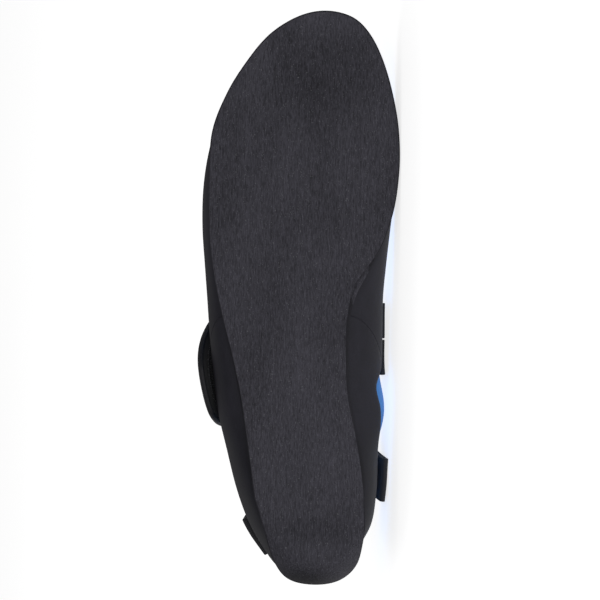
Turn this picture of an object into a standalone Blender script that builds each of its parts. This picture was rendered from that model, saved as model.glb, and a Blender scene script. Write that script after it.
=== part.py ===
"""A climbing shoe for the right foot, lying on its inner side.

Each solid is modelled with the shoe standing: x runs from heel to toe, y to the inner side of the foot
and z up from the ground. One empty then lays all of them on the floor.
"""
import math

import bmesh
import bpy
import numpy as np
from mathutils import Matrix, Vector

# Driving sizes in metres
LENGTH = 0.262
BALL_WIDTH = 0.0905
INSTEP_HEIGHT = 0.075
WIDEST_HEIGHT = 0.034
TOE_SPRING = 0.004
ARCH_RISE = 0.0036
SOLE_SHEET = 0.004
SOLE_CURL = 0.0025
RAND_SHEET = 0.0015
RAND_SET_BACK = 0.001
UPPER_WALL = 0.002
TONGUE_PAD = 0.0035
TONGUE_HALF_WIDTH = 0.024
STRAP_SHEET = 0.002
STRAP_LEGS_WIDTH = 0.033
STRAP_FLAP_WIDTH = 0.058
STRAP_SLIT = 0.0016
FLAP_LIFT = 0.0086
WEBBING_SHEET = 0.001
WEBBING_WIDTH = 0.019
LOOP_LENGTH = 0.031
LOOP_GAP = 0.0006
LOOP_TAIL = 0.009

# Clearances between pieces
CLEAR = 0.0003
TONGUE_CLEAR = 0.0011
STRAP_CLEAR = 0.0008
LOOP_CLEAR = 0.0005

# Where the plan curves of the shoe end, measured from the back of the heel and from the tip of the toe
FEATHER_FROM_HEEL = 0.014
FEATHER_FROM_TOE = 0.007
MARGIN_FROM_HEEL = 0.024
MARGIN_FROM_TOE = 0.018
RIDGE_FROM_HEEL = 0.052
RIDGE_FROM_TOE = 0.019

# How far the turned-under margin reaches from the middle of the foot, as a share of the way out
MARGIN_SHARE = 0.68

# Weights of the materials in kilograms per cubic metre
DENSITIES = {"rubber": 1200, "leather": 900, "cloth": 300}
SUBSTANCES = {"outsole": "rubber", "rand_front": "rubber", "rand_heel": "rubber", "upper": "leather"}

# The shoe's plan. Along is a share of each curve's own length, the other columns are shares of the
# ball width, positive to the outer side: the rand's widest line, the feather line and the sole's edge
PLAN_COLUMNS = ("along", "wide_out", "wide_in", "feather_out", "feather_in", "edge_out", "edge_in")
PLAN = (
    (0.000, -0.055, -0.055, -0.055, -0.055, -0.055, -0.055),
    (0.007, 0.060, -0.160, 0.046, -0.154, 0.050, -0.158),
    (0.025, 0.140, -0.232, 0.090, -0.206, 0.100, -0.214),
    (0.060, 0.215, -0.276, 0.160, -0.249, 0.188, -0.271),
    (0.100, 0.280, -0.335, 0.204, -0.260, 0.245, -0.298),
    (0.160, 0.344, -0.362, 0.243, -0.263, 0.270, -0.283),
    (0.230, 0.394, -0.377, 0.276, -0.238, 0.296, -0.251),
    (0.300, 0.440, -0.424, 0.307, -0.203, 0.324, -0.214),
    (0.370, 0.463, -0.395, 0.345, -0.194, 0.365, -0.206),
    (0.440, 0.482, -0.394, 0.390, -0.198, 0.413, -0.213),
    (0.500, 0.493, -0.396, 0.420, -0.227, 0.448, -0.254),
    (0.560, 0.505, -0.411, 0.440, -0.309, 0.473, -0.370),
    (0.620, 0.516, -0.430, 0.446, -0.370, 0.482, -0.434),
    (0.700, 0.510, -0.457, 0.439, -0.398, 0.480, -0.471),
    (0.780, 0.468, -0.456, 0.407, -0.402, 0.464, -0.470),
    (0.850, 0.392, -0.432, 0.347, -0.378, 0.389, -0.438),
    (0.910, 0.291, -0.387, 0.260, -0.340, 0.286, -0.390),
    (0.955, 0.188, -0.328, 0.160, -0.287, 0.182, -0.330),
    (0.985, 0.080, -0.255, 0.055, -0.227, 0.061, -0.253),
    (1.000, -0.101, -0.101, -0.101, -0.101, -0.101, -0.101),
)

# The shoe's sections. Widest heights are shares of the widest height, the ridge is placed by shares of
# the ball width and of the instep's height, bow is the power of the top arc, and open is the angle in
# degrees on that arc at which the wall stops at the collar or the throat, 90 where the vamp is closed
SECTION_COLUMNS = ("along", "high_out", "high_in", "ridge_across", "ridge_high", "bow_out", "bow_in", "open")
SECTIONS = (
    (0.000, 0.76, 0.76, -0.040, 1.653, 1.14, 1.14, 35.0),
    (0.050, 0.78, 0.74, -0.030, 1.600, 1.14, 1.14, 33.0),
    (0.100, 0.80, 0.74, -0.022, 1.490, 1.14, 1.12, 31.0),
    (0.160, 0.80, 0.80, -0.012, 1.320, 1.10, 1.05, 34.0),
    (0.220, 0.78, 0.88, -0.005, 1.160, 1.04, 0.95, 41.0),
    (0.280, 0.74, 0.94, 0.000, 1.060, 0.98, 0.84, 51.0),
    (0.330, 0.71, 0.96, -0.004, 0.990, 0.95, 0.78, 61.0),
    (0.380, 0.68, 0.96, -0.010, 0.930, 0.94, 0.76, 67.0),
    (0.430, 0.65, 0.92, -0.016, 0.872, 0.94, 0.77, 70.0),
    (0.500, 0.60, 0.82, -0.026, 0.800, 0.93, 0.80, 73.0),
    (0.545, 0.57, 0.74, -0.034, 0.755, 0.93, 0.83, 77.0),
    (0.620, 0.53, 0.58, -0.046, 0.684, 0.92, 0.87, 90.0),
    (0.700, 0.50, 0.44, -0.062, 0.612, 0.90, 0.88, 90.0),
    (0.780, 0.48, 0.42, -0.080, 0.542, 0.88, 0.87, 90.0),
    (0.860, 0.46, 0.44, -0.096, 0.472, 0.87, 0.87, 90.0),
    (0.930, 0.44, 0.44, -0.104, 0.415, 0.87, 0.87, 90.0),
    (1.000, 0.41, 0.41, -0.106, 0.372, 0.87, 0.87, 90.0),
)

# How high the rand and the sole reach on the skin's levels, from 0 at the feather line over 1 at the
# widest line to 2 at the ridge: the rand's top line, the sole's wrap and the sole's curl at the heel
REACH_COLUMNS = ("along", "rand_out", "rand_in", "wrap_out", "wrap_in", "curl_out", "curl_in")
REACH = (
    (0.000, 1.21, 1.21, 0.74, 0.74, 0.74, 0.74),
    (0.008, 1.21, 1.21, 0.72, 0.73, 0.72, 0.73),
    (0.025, 1.20, 1.20, 0.56, 0.64, 0.50, 0.62),
    (0.060, 1.18, 1.18, 0.30, 0.42, 0.14, 0.30),
    (0.100, 1.14, 1.10, 0.14, 0.18, 0.00, 0.00),
    (0.200, 1.06, 0.93, 0.08, 0.08, 0.00, 0.00),
    (0.300, 0.99, 0.62, 0.08, 0.08, 0.00, 0.00),
    (0.340, 0.99, 0.58, 0.08, 0.08, 0.00, 0.00),
    (0.385, 0.99, 0.94, 0.08, 0.08, 0.00, 0.00),
    (0.440, 1.00, 0.98, 0.10, 0.08, 0.00, 0.00),
    (0.560, 1.05, 0.99, 0.24, 0.22, 0.00, 0.00),
    (0.700, 1.10, 1.10, 0.34, 0.38, 0.00, 0.00),
    (0.850, 1.20, 1.20, 0.40, 0.40, 0.00, 0.00),
    (0.930, 1.34, 1.34, 0.40, 0.40, 0.00, 0.00),
    (1.000, 1.52, 1.52, 0.40, 0.40, 0.00, 0.00),
)

# How far the tread lies above the ground, as shares of the arch's rise and of the toe's spring
TREAD_COLUMNS = ("along", "arch", "spring")
TREAD = (
    (0.00, 0.00, 0.00),
    (0.12, 0.00, 0.00),
    (0.19, 0.00, 0.00),
    (0.28, 0.45, 0.00),
    (0.38, 1.00, 0.00),
    (0.47, 0.80, 0.00),
    (0.55, 0.15, 0.00),
    (0.60, 0.00, 0.00),
    (0.81, 0.00, 0.00),
    (0.87, 0.00, 0.14),
    (0.94, 0.00, 0.50),
    (1.00, 0.00, 1.00),
)

# The closure strap, from its start on the inner side over the foot to its tip: where its middle lies as a
# share of the length, how far its width has grown from the legs' to the flap's, and the level of the
# skin, counted on from 2 at the ridge down the outer side
STRAP_COLUMNS = ("run", "middle", "width", "level")
STRAP = (
    (0.00, 0.431, 0.00, 1.03),
    (0.18, 0.431, 0.00, 1.30),
    (0.45, 0.431, 0.10, 1.72),
    (0.62, 0.425, 0.35, 2.05),
    (0.80, 0.400, 0.80, 2.55),
    (1.00, 0.357, 1.00, 3.04),
)

# Shares of the strap's run: where the slit between its legs ends, where the flap starts to stand off the
# wall and how much its corners are rounded, with the powers of those two curves. The flap's back edge has
# only a share of the lift, and the tip reaches furthest at a place a little behind the middle
SLIT_END = 0.5
FLAP_START = 0.72
TIP_ROUND = 0.19
FLAP_POWER = 1.5
FLAP_BACK_LIFT = 0.2
TIP_POWER = 2.4
TIP_MIDDLE = 0.43

# The tongue in shares of the length, the width of its front end in shares of its back end, and how much
# and over which share its back corners are rounded
TONGUE_BACK = 0.235
TONGUE_FRONT = 0.60
TONGUE_TAPER = 0.8
TONGUE_CORNER = 0.35
TONGUE_CORNER_SHARE = 0.12

# How high the sole's edge stays upright before it turns into its top
SOLE_SHOULDER = 0.85

# The pull loops: name, where along the collar they sit, 1 for the outer side, and how far their lower end
# stands off the wall as a share of the length that hangs
LOOPS = (
    ("pull_loop_inner", 0.175, -1, 0.055),
    ("pull_loop_outer", 0.072, 1, 0.0),
)

# Where on the tail inside the collar its points lie, and how steeply the loop rises over the rand
TAIL_SHARES = (1, 0.5, 0.12)
RAND_START = 3

# The slanted seam between the two rands: where it starts at the sole and how far it leans back
SEAM_ALONG = 0.485
SEAM_LEAN = 46.0

# Mesh steps
OPEN_STEPS = 22
VAMP_STEPS = 15
THROAT_ALONG = 0.56
RAND_RINGS = 5
WALL_RINGS = 8
EDGE_RINGS = 3
SOLE_LADDER = 6
TONGUE_STEPS = 14
TONGUE_COLUMNS = 8
STRAP_STEPS = 30
LEG_STEPS = 4
LOOP_COLUMNS_ACROSS = 4
LOOP_STEPS = 6
TURN_STEP = 0.01
LEVEL_STEP = 0.02
SMOOTH_ANGLE = 35.0

# Base colour and roughness of each surface
SURFACES = {
    "sole": ((0.038, 0.037, 0.043), 0.8),
    "rand": ((0.026, 0.026, 0.030), 0.7),
    "upper": ((0.050, 0.215, 0.515), 0.75),
    "lining": ((0.055, 0.058, 0.065), 0.9),
    "strap": ((0.017, 0.017, 0.020), 0.85),
}


def smooth(knots, values, at):
    """Read a smooth curve through the knots; a stretch between two equal values stays level."""
    last = len(knots) - 1
    index = min(max(int(np.searchsorted(knots, at)) - 1, 0), last - 1)
    width = knots[index + 1] - knots[index]
    rise = values[index + 1] - values[index]

    def slope(k):
        before = (values[k] - values[k - 1]) / (knots[k] - knots[k - 1]) if k > 0 else None
        after = (values[k + 1] - values[k]) / (knots[k + 1] - knots[k]) if k < last else None
        if before is None or after is None:
            return after if before is None else before
        if before == 0 or after == 0:
            return 0.0
        left, right = knots[k] - knots[k - 1], knots[k + 1] - knots[k]
        return (before * right + after * left) / (left + right)

    t = (at - knots[index]) / width
    start, end = slope(index) * width, slope(index + 1) * width
    bend = t * (1 - t)
    return values[index] + rise * t + bend * ((start - rise) * (1 - t) - (end - rise) * t)


def column(table, names, name):
    return [row[names.index(name)] for row in table]


def turn_of(along):
    """The angle of a column of the skin: 0 at the heel, half a turn at the toe."""
    return math.acos(1 - 2 * along)


class Around:
    """A value read all round the shoe: positive turns run along the outer side, negative the inner."""

    def __init__(self, table, names, outer, inner=None):
        turns = [turn_of(along) for along in column(table, names, "along")]
        out_values = column(table, names, outer)
        in_values = column(table, names, inner or outer)
        self.knots = [-t for t in reversed(turns)] + turns[1:]
        self.values = list(reversed(in_values)) + out_values[1:]
        before = [k - 2 * math.pi for k in self.knots[-4:-1]]
        after = [k + 2 * math.pi for k in self.knots[1:4]]
        self.values = self.values[-4:-1] + self.values + self.values[1:4]
        self.knots = before + self.knots + after

    def __call__(self, turn):
        return smooth(self.knots, self.values, turn)


wide_across = Around(PLAN, PLAN_COLUMNS, "wide_out", "wide_in")
feather_across = Around(PLAN, PLAN_COLUMNS, "feather_out", "feather_in")
edge_across = Around(PLAN, PLAN_COLUMNS, "edge_out", "edge_in")
widest_high = Around(SECTIONS, SECTION_COLUMNS, "high_out", "high_in")
ridge_across = Around(SECTIONS, SECTION_COLUMNS, "ridge_across")
ridge_high = Around(SECTIONS, SECTION_COLUMNS, "ridge_high")
bow = Around(SECTIONS, SECTION_COLUMNS, "bow_out", "bow_in")
open_angle = Around(SECTIONS, SECTION_COLUMNS, "open")
rand_reach = Around(REACH, REACH_COLUMNS, "rand_out", "rand_in")
wrap_reach = Around(REACH, REACH_COLUMNS, "wrap_out", "wrap_in")
curl_reach = Around(REACH, REACH_COLUMNS, "curl_out", "curl_in")


def tread_high(x):
    """Height of the tread above the ground at x."""
    along = min(max(x / LENGTH, 0), 1)
    knots = column(TREAD, TREAD_COLUMNS, "along")
    arch = smooth(knots, column(TREAD, TREAD_COLUMNS, "arch"), along)
    spring = smooth(knots, column(TREAD, TREAD_COLUMNS, "spring"), along)
    return ARCH_RISE * arch + TOE_SPRING * spring


def between(start, end, share):
    return start + (end - start) * share


def plan_point(across, turn, heel, toe):
    """A point of a plan curve whose ends lie at heel and toe; the second value is to the outer side."""
    share = (1 - math.cos(turn)) / 2
    return Vector((between(heel, toe, share), BALL_WIDTH * across(turn)))


def feather_point(turn):
    return plan_point(feather_across, turn, FEATHER_FROM_HEEL, LENGTH - FEATHER_FROM_TOE)


def edge_point(turn):
    return plan_point(edge_across, turn, FEATHER_FROM_HEEL, LENGTH)


def margin_point(turn):
    """The inner end of the margin that is turned under the foot."""
    share = (1 - math.cos(turn)) / 2
    feather = feather_point(turn)
    centre = (feather_point(turn).y + feather_point(-turn).y) / 2
    along = between(MARGIN_FROM_HEEL, LENGTH - MARGIN_FROM_TOE, share)
    return Vector((along, between(centre, feather.y, MARGIN_SHARE)))


def widest_point(turn, depth):
    """A point of the widest line, moved inwards by depth at right angles to the line."""
    def line(at):
        return plan_point(wide_across, at, SOLE_CURL + CLEAR, LENGTH - RAND_SET_BACK)

    tangent = (line(turn + TURN_STEP) - line(turn - TURN_STEP)).normalized()
    outwards = Vector((-tangent.y, tangent.x))
    return line(turn) - outwards * depth


def ridge_point(turn):
    share = (1 - math.cos(turn)) / 2
    along = between(RIDGE_FROM_HEEL, LENGTH - RIDGE_FROM_TOE, share)
    return Vector((along, BALL_WIDTH * ridge_across(turn)))


def skin(turn, level, depth, under=None):
    """A point of the shoe's skin, depth inside the outer face of the rand, and under above its bottom.

    Level -1 is the inner end of the turned-under margin, 0 the feather line, 1 the widest line and 2
    the ridge over the foot.
    """
    under = depth if under is None else under
    feather = feather_point(turn)
    base = SOLE_SHEET + CLEAR + under
    if level <= 0:
        plan = margin_point(turn).lerp(feather, level + 1)
        return Vector((plan.x, -plan.y, tread_high(plan.x) + base))
    wide = widest_point(turn, depth)
    wide_high = WIDEST_HEIGHT * widest_high(turn)
    if level <= 1:
        angle = level * math.pi / 2
        plan = feather.lerp(wide, math.sin(angle))
        low = tread_high(feather.x) + base
        return Vector((plan.x, -plan.y, wide_high - (wide_high - low) * math.cos(angle)))
    angle = min((level - 1) * math.pi / 2, math.pi / 2)
    power = bow(turn)
    plan = ridge_point(turn).lerp(wide, max(math.cos(angle), 0) ** power)
    high = INSTEP_HEIGHT * ridge_high(turn) - depth
    return Vector((plan.x, -plan.y, wide_high + (high - wide_high) * math.sin(angle) ** power))


def turn_at(x, level, side):
    """The column of the skin that passes x at a level above the widest line."""
    turn = turn_of(min(max(x / LENGTH, 0.02), 0.98))
    for _ in range(4):
        inwards = max(math.cos((level - 1) * math.pi / 2), 0) ** bow(turn * side)
        heel = between(RIDGE_FROM_HEEL, SOLE_CURL + CLEAR, inwards)
        toe = between(LENGTH - RIDGE_FROM_TOE, LENGTH - RAND_SET_BACK, inwards)
        turn = turn_of(min(max((x - heel) / (toe - heel), 0.0), 1.0))
    return turn * side


def columns():
    """The turns of all columns: evenly spaced along the opening and along the closed vamp."""
    throat = turn_of(THROAT_ALONG)
    side = [throat * k / OPEN_STEPS for k in range(OPEN_STEPS)]
    side += [throat + (math.pi - throat) * k / VAMP_STEPS for k in range(VAMP_STEPS + 1)]
    return side + [-t for t in reversed(side[1:-1])]


def top_level(turn):
    """The level at which the upper ends: the ridge where the vamp is closed, else the opening's edge."""
    if abs(turn) >= turn_of(THROAT_ALONG) - 1e-6:
        return 2.0
    return 1 + open_angle(turn) / 90


def rand_levels(turn):
    reach = rand_reach(turn)
    return [-1.0, -0.5, 0.0] + [reach * k / RAND_RINGS for k in range(1, RAND_RINGS + 1)]


def upper_levels(turn):
    low, high = rand_reach(turn), top_level(turn)
    return rand_levels(turn) + [between(low, high, k / WALL_RINGS) for k in range(1, WALL_RINGS + 1)]


def material(name, colour, roughness):
    """A plain surface in the piece's own colour."""
    surface = bpy.data.materials.new(name)
    surface.use_nodes = True
    shader = surface.node_tree.nodes["Principled BSDF"]
    shader.inputs["Base Color"].default_value = (*colour, 1)
    shader.inputs["Roughness"].default_value = roughness
    shader.inputs["Metallic"].default_value = 0
    return surface


def finish(name, mesh, surface):
    """Turn a bmesh into a closed, smooth-shaded object of its own name and material."""
    bmesh.ops.remove_doubles(mesh, verts=mesh.verts, dist=1e-6)
    bmesh.ops.dissolve_degenerate(mesh, dist=1e-6, edges=mesh.edges)
    bmesh.ops.recalc_face_normals(mesh, faces=mesh.faces)
    data = bpy.data.meshes.new(name)
    mesh.to_mesh(data)
    mesh.free()
    data.materials.append(material(name, *SURFACES[surface]))
    data.shade_smooth()
    data.set_sharp_from_angle(angle=math.radians(SMOOTH_ANGLE))
    piece = bpy.data.objects.new(name, data)
    bpy.context.scene.collection.objects.link(piece)
    return piece


def face_strip(mesh, a, b):
    """Two triangles for each cell between two columns, always split the same way, so that the faces of
    neighbouring sheets stay parallel."""
    for j in range(len(a) - 1):
        mesh.faces.new((a[j], b[j], b[j + 1]))
        mesh.faces.new((a[j], b[j + 1], a[j + 1]))


def sheet_solid(front, back, closed):
    """A closed solid between two grids of points; closed joins the last column to the first."""
    mesh = bmesh.new()
    grids = [[[mesh.verts.new(p) for p in row] for row in grid] for grid in (front, back)]
    count = len(front)
    spans = range(count if closed else count - 1)
    rows = len(front[0])
    for grid in grids:
        for i in spans:
            face_strip(mesh, grid[i], grid[(i + 1) % count])
    first, second = grids
    for i in spans:
        k = (i + 1) % count
        mesh.faces.new((first[i][0], second[i][0], second[k][0], first[k][0]))
        mesh.faces.new((first[i][-1], first[k][-1], second[k][-1], second[i][-1]))
    if not closed:
        for end in (0, -1):
            for j in range(rows - 1):
                a, b = first[end], second[end]
                mesh.faces.new((a[j], a[j + 1], b[j + 1], b[j]))
    return mesh


def make_upper():
    """One hollow shell, closed over the vamp, open at throat and collar and under the foot."""
    outer = RAND_SHEET + CLEAR
    turns = columns()
    grids = [[[skin(t, level, depth) for level in upper_levels(t)] for t in turns]
             for depth in (outer, outer + UPPER_WALL)]
    mesh = bmesh.new()
    faces = [[[mesh.verts.new(p) for p in row] for row in grid] for grid in grids]
    count = len(turns)
    for i in range(count):
        k = (i + 1) % count
        for grid in faces:
            face_strip(mesh, grid[i], grid[k])
        mesh.faces.new((faces[0][i][0], faces[1][i][0], faces[1][k][0], faces[0][k][0]))
        if top_level(turns[i]) < 2 or top_level(turns[k]) < 2:
            mesh.faces.new((faces[0][i][-1], faces[0][k][-1], faces[1][k][-1], faces[1][i][-1]))
    return finish("upper", mesh, "upper")


def cut_at_seam(mesh, keep_front, gap):
    """Cut a rand along the slanted seam and close the cut."""
    foot = Vector((LENGTH * SEAM_ALONG, 0, SOLE_SHEET))
    lean = math.radians(SEAM_LEAN)
    normal = Vector((math.cos(lean), 0, math.sin(lean)))
    if not keep_front:
        normal.negate()
    cut = bmesh.ops.bisect_plane(mesh, geom=mesh.verts[:] + mesh.edges[:] + mesh.faces[:],
                                 plane_co=foot + normal * gap / 2, plane_no=normal,
                                 clear_inner=True, dist=1e-7)
    edges = [item for item in cut["geom_cut"] if isinstance(item, bmesh.types.BMEdge)]
    bmesh.ops.edgenet_fill(mesh, edges=edges)


def make_rands():
    """Two rubber bands over the upper's lower part, one round the toe and one round the heel."""
    turns = columns()
    pieces = []
    for name, keep_front in (("rand_front", True), ("rand_heel", False)):
        grids = [[[skin(t, level, depth) for level in rand_levels(t)] for t in turns]
                 for depth in (0, RAND_SHEET)]
        mesh = sheet_solid(grids[0], grids[1], True)
        cut_at_seam(mesh, keep_front, CLEAR)
        pieces.append(finish(name, mesh, "rand"))
    return pieces


def sole_column(turn):
    """One column of the outsole from the margin out to its edge, as points of its top and of its tread."""
    wrap, curl = wrap_reach(turn), max(curl_reach(turn), 0)
    lip = edge_point(turn) - feather_point(turn)
    top, tread = [], []
    for level in (-1.0, -0.5, 0.0):
        top.append(skin(turn, level, -CLEAR))
        tread.append(skin(turn, level, -CLEAR, -CLEAR - SOLE_SHEET))
    for k in range(1, EDGE_RINGS + 1):
        share = k / EDGE_RINGS
        top.append(skin(turn, share * wrap, -CLEAR))
        point = skin(turn, share * curl, -CLEAR - SOLE_CURL, -CLEAR - SOLE_SHEET)
        point += Vector((lip.x, -lip.y, 0)) * share
        point.z += tread_high(point.x) - tread_high(feather_point(turn).x)
        tread.append(point)
    shoulder = tread[-1].copy()
    shoulder.z = between(tread[-1].z, top[-1].z, SOLE_SHOULDER)
    return top + [shoulder], tread


def make_outsole():
    """One rubber sheet, flat under the foot, proud at the toe and turned up over the heel."""
    turns = columns()
    mesh = bmesh.new()
    tops, treads = [], []
    for turn in turns:
        top, tread = sole_column(turn)
        tops.append([mesh.verts.new(p) for p in top])
        treads.append([mesh.verts.new(p) for p in tread])
    count = len(turns)
    for i in range(count):
        k = (i + 1) % count
        face_strip(mesh, tops[i], tops[k])
        face_strip(mesh, treads[i], treads[k])
        mesh.faces.new((tops[i][-1], treads[i][-1], treads[k][-1], tops[k][-1]))
    for rings, height in ((tops, SOLE_SHEET), (treads, 0)):
        fill_middle(mesh, [ring[0] for ring in rings], height)
    return finish("outsole", mesh, "sole")


def fill_middle(mesh, ring, height):
    """Fill a ring of columns with rungs from the outer to the inner side, each point on the tread's curve."""
    count = len(ring)
    half = count // 2
    rungs = []
    for i in range(half + 1):
        outer, inner = ring[i], ring[(count - i) % count]
        if outer is inner:
            rungs.append([outer])
            continue
        rung = [outer]
        for k in range(1, SOLE_LADDER):
            place = outer.co.lerp(inner.co, k / SOLE_LADDER)
            place.z = tread_high(place.x) + height
            rung.append(mesh.verts.new(place))
        rungs.append(rung + [inner])
    for a, b in zip(rungs, rungs[1:]):
        if len(a) == 1 or len(b) == 1:
            tip, row = (a[0], b) if len(a) == 1 else (b[0], a)
            for k in range(SOLE_LADDER):
                mesh.faces.new((tip, row[k], row[k + 1]))
            continue
        for k in range(SOLE_LADDER):
            mesh.faces.new((a[k], b[k], b[k + 1], a[k + 1]))


def make_insole():
    """Board and sock, level with the upper's turned-under margin and clear of its cut edge."""
    turns = columns()
    low = SOLE_SHEET + CLEAR
    high = low + RAND_SHEET + CLEAR + UPPER_WALL
    mesh = bmesh.new()
    rings = []
    for base in (low, high):
        ring = []
        for turn in turns:
            tangent = (margin_point(turn + TURN_STEP) - margin_point(turn - TURN_STEP)).normalized()
            plan = margin_point(turn) - Vector((-tangent.y, tangent.x)) * 2 * CLEAR
            ring.append(mesh.verts.new((plan.x, -plan.y, tread_high(plan.x) + base)))
        rings.append(ring)
        fill_middle(mesh, ring, base)
    count = len(turns)
    for i in range(count):
        k = (i + 1) % count
        mesh.faces.new((rings[0][i], rings[0][k], rings[1][k], rings[1][i]))
    return finish("insole", mesh, "lining")


def make_tongue():
    """A padded sheet under the throat, from below the vamp to above the front of the collar."""
    face = RAND_SHEET + CLEAR + UPPER_WALL + TONGUE_CLEAR
    nearly_upright = 0.98
    front, back = [], []
    for i in range(TONGUE_STEPS + 1):
        share = i / TONGUE_STEPS
        turn = turn_of(between(TONGUE_BACK, TONGUE_FRONT, share))
        rows = [[], []]
        corner = 1 - TONGUE_CORNER * max(1 - share / TONGUE_CORNER_SHARE, 0) ** 2
        for j in range(TONGUE_COLUMNS + 1):
            place = 2 * j / TONGUE_COLUMNS - 1
            side = 1 if place >= 0 else -1
            half = abs(widest_point(turn * side, face).y - ridge_point(turn).y)
            reach = TONGUE_HALF_WIDTH * corner * abs(place) * between(1, TONGUE_TAPER, share) / half
            angle = math.acos(min(reach, nearly_upright) ** (1 / bow(turn)))
            level = 1 + angle / (math.pi / 2)
            rows[0].append(skin(turn * side, level, face))
            rows[1].append(skin(turn * side, level, face + TONGUE_PAD))
        front.append(rows[0])
        back.append(rows[1])
    return finish("tongue", sheet_solid(front, back, False), "lining")


def strap_point(run, place, lift):
    """A point of the strap: run goes over the foot, place from its back edge (0) to its front edge (1)."""
    knots = column(STRAP, STRAP_COLUMNS, "run")
    middle = LENGTH * smooth(knots, column(STRAP, STRAP_COLUMNS, "middle"), run)
    share = smooth(knots, column(STRAP, STRAP_COLUMNS, "width"), run)
    width = between(STRAP_LEGS_WIDTH, STRAP_FLAP_WIDTH, share)
    level = smooth(knots, column(STRAP, STRAP_COLUMNS, "level"), run)
    side = -1 if level < 2 else 1
    level = level if level < 2 else 4 - level
    x = middle + width * (place - 0.5)
    turn = turn_at(x, level, side)
    lifted = max((run - FLAP_START) / (1 - FLAP_START), 0) ** FLAP_POWER
    raised = FLAP_LIFT * lifted * between(FLAP_BACK_LIFT, 1, place)
    return skin(turn, level, RAND_SHEET + CLEAR - STRAP_CLEAR - lift - raised, 0)


def make_strap():
    """The closure strap: two legs from the inner side, joined over the instep, and one wide flap."""
    split = 0.5 - STRAP_SLIT / STRAP_LEGS_WIDTH / 2
    places = [split * k / LEG_STEPS for k in range(LEG_STEPS + 1)]
    places += [1 - p for p in reversed(places)]
    mesh = bmesh.new()
    grids = []
    for lift in (STRAP_SHEET, 0):
        grid = []
        for i in range(STRAP_STEPS + 1):
            row = []
            for place in places:
                tip = 1 - TIP_ROUND * abs(2 * (place - TIP_MIDDLE)) ** TIP_POWER
                row.append(mesh.verts.new(strap_point(i / STRAP_STEPS * tip, place, lift)))
            grid.append(row)
        grids.append(grid)
    slit_rows = round(SLIT_END * STRAP_STEPS)
    present = [[not (j == LEG_STEPS and i < slit_rows) for j in range(len(places) - 1)]
               for i in range(STRAP_STEPS)]
    fill_sheet(mesh, grids, present)
    return finish("closure_strap", mesh, "strap")


def fill_sheet(mesh, grids, present):
    """Face both sides of a sheet where cells are present, and wall every edge between present and not."""
    top, under = grids
    rows, places = len(present), len(present[0])

    def there(i, j):
        return 0 <= i < rows and 0 <= j < places and present[i][j]

    for i in range(rows):
        for j in range(places):
            if not there(i, j):
                continue
            mesh.faces.new((top[i][j], top[i + 1][j], top[i + 1][j + 1], top[i][j + 1]))
            mesh.faces.new((under[i][j], under[i][j + 1], under[i + 1][j + 1], under[i + 1][j]))
            sides = (((i - 1, j), (i, j), (i, j + 1)), ((i + 1, j), (i + 1, j), (i + 1, j + 1)),
                     ((i, j - 1), (i, j), (i + 1, j)), ((i, j + 1), (i, j + 1), (i + 1, j + 1)))
            for beyond, a, b in sides:
                if not there(*beyond):
                    mesh.faces.new((top[a[0]][a[1]], top[b[0]][b[1]],
                                    under[b[0]][b[1]], under[a[0]][a[1]]))


def loop_column(turn, side, swing):
    """The webbing's middle line at one column of the collar, with the wall's direction along the shoe.

    It starts inside the collar, passes over its edge, hangs down outside over the rand and folds up.
    """
    middle = RAND_SHEET + CLEAR + UPPER_WALL / 2
    arm = UPPER_WALL / 2 + LOOP_CLEAR + WEBBING_SHEET / 2
    fold = (LOOP_GAP + WEBBING_SHEET) / 2
    level = top_level(turn)
    edge = skin(turn, level, middle)
    drop = edge - skin(turn, level - LEVEL_STEP, middle)
    wall_up = drop.normalized()
    per_metre = LEVEL_STEP / drop.length
    wall_along = skin(turn + TURN_STEP, level, middle) - skin(turn - TURN_STEP, level, middle)
    wall_along = (wall_along - wall_up * wall_along.dot(wall_up)).normalized() * side
    outwards = wall_along.cross(wall_up) * side
    bends = [math.pi * k / LOOP_STEPS for k in range(1, LOOP_STEPS)]

    def hanging(share, proud):
        down = share * LOOP_LENGTH
        over_rand = min(share * RAND_START, 1) * (RAND_SHEET + CLEAR)
        off = LOOP_CLEAR + WEBBING_SHEET / 2 + over_rand + proud + swing * down * share
        return skin(turn, level - down * per_metre, RAND_SHEET + CLEAR - off)

    spots = [skin(turn, level - LOOP_TAIL * share * per_metre, middle + arm) for share in TAIL_SHARES]
    spots += [edge - outwards * arm * math.cos(angle) + wall_up * arm * math.sin(angle) for angle in bends]
    spots += [hanging(k / LOOP_STEPS, 0) for k in range(1, LOOP_STEPS + 1)]
    low, beyond = hanging(1, 0), hanging(1, 2 * fold)
    across = (beyond - low).normalized()
    down = (low - hanging(1 - LEVEL_STEP, 0)).normalized()
    spots += [low.lerp(beyond, 0.5) - across * fold * math.cos(angle) + down * fold * math.sin(angle)
              for angle in bends]
    spots += [hanging(k / LOOP_STEPS, 2 * fold) for k in range(LOOP_STEPS, 0, -1)]
    return spots, wall_along


def make_pull_loop(name, along, side, swing):
    """A flat folded webbing loop over the collar's edge, which follows the collar column by column."""
    middle = turn_of(along) * side
    near = [skin(middle + s * TURN_STEP, top_level(middle), 0) for s in (-1, 1)]
    per_turn = (near[1] - near[0]).length / (2 * TURN_STEP)
    faces = ([], [])
    for place in range(LOOP_COLUMNS_ACROSS + 1):
        off = WEBBING_WIDTH * (place / LOOP_COLUMNS_ACROSS - 0.5) / per_turn
        spots, wall_along = loop_column(middle + off, side, swing)
        for grid, face in zip(faces, (0.5, -0.5)):
            line = []
            for k, spot in enumerate(spots):
                run = spots[min(k + 1, len(spots) - 1)] - spots[max(k - 1, 0)]
                line.append(spot + run.cross(wall_along).normalized() * WEBBING_SHEET * face)
            grid.append(line)
    return finish(name, sheet_solid(faces[0], faces[1], False), "strap")


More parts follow.
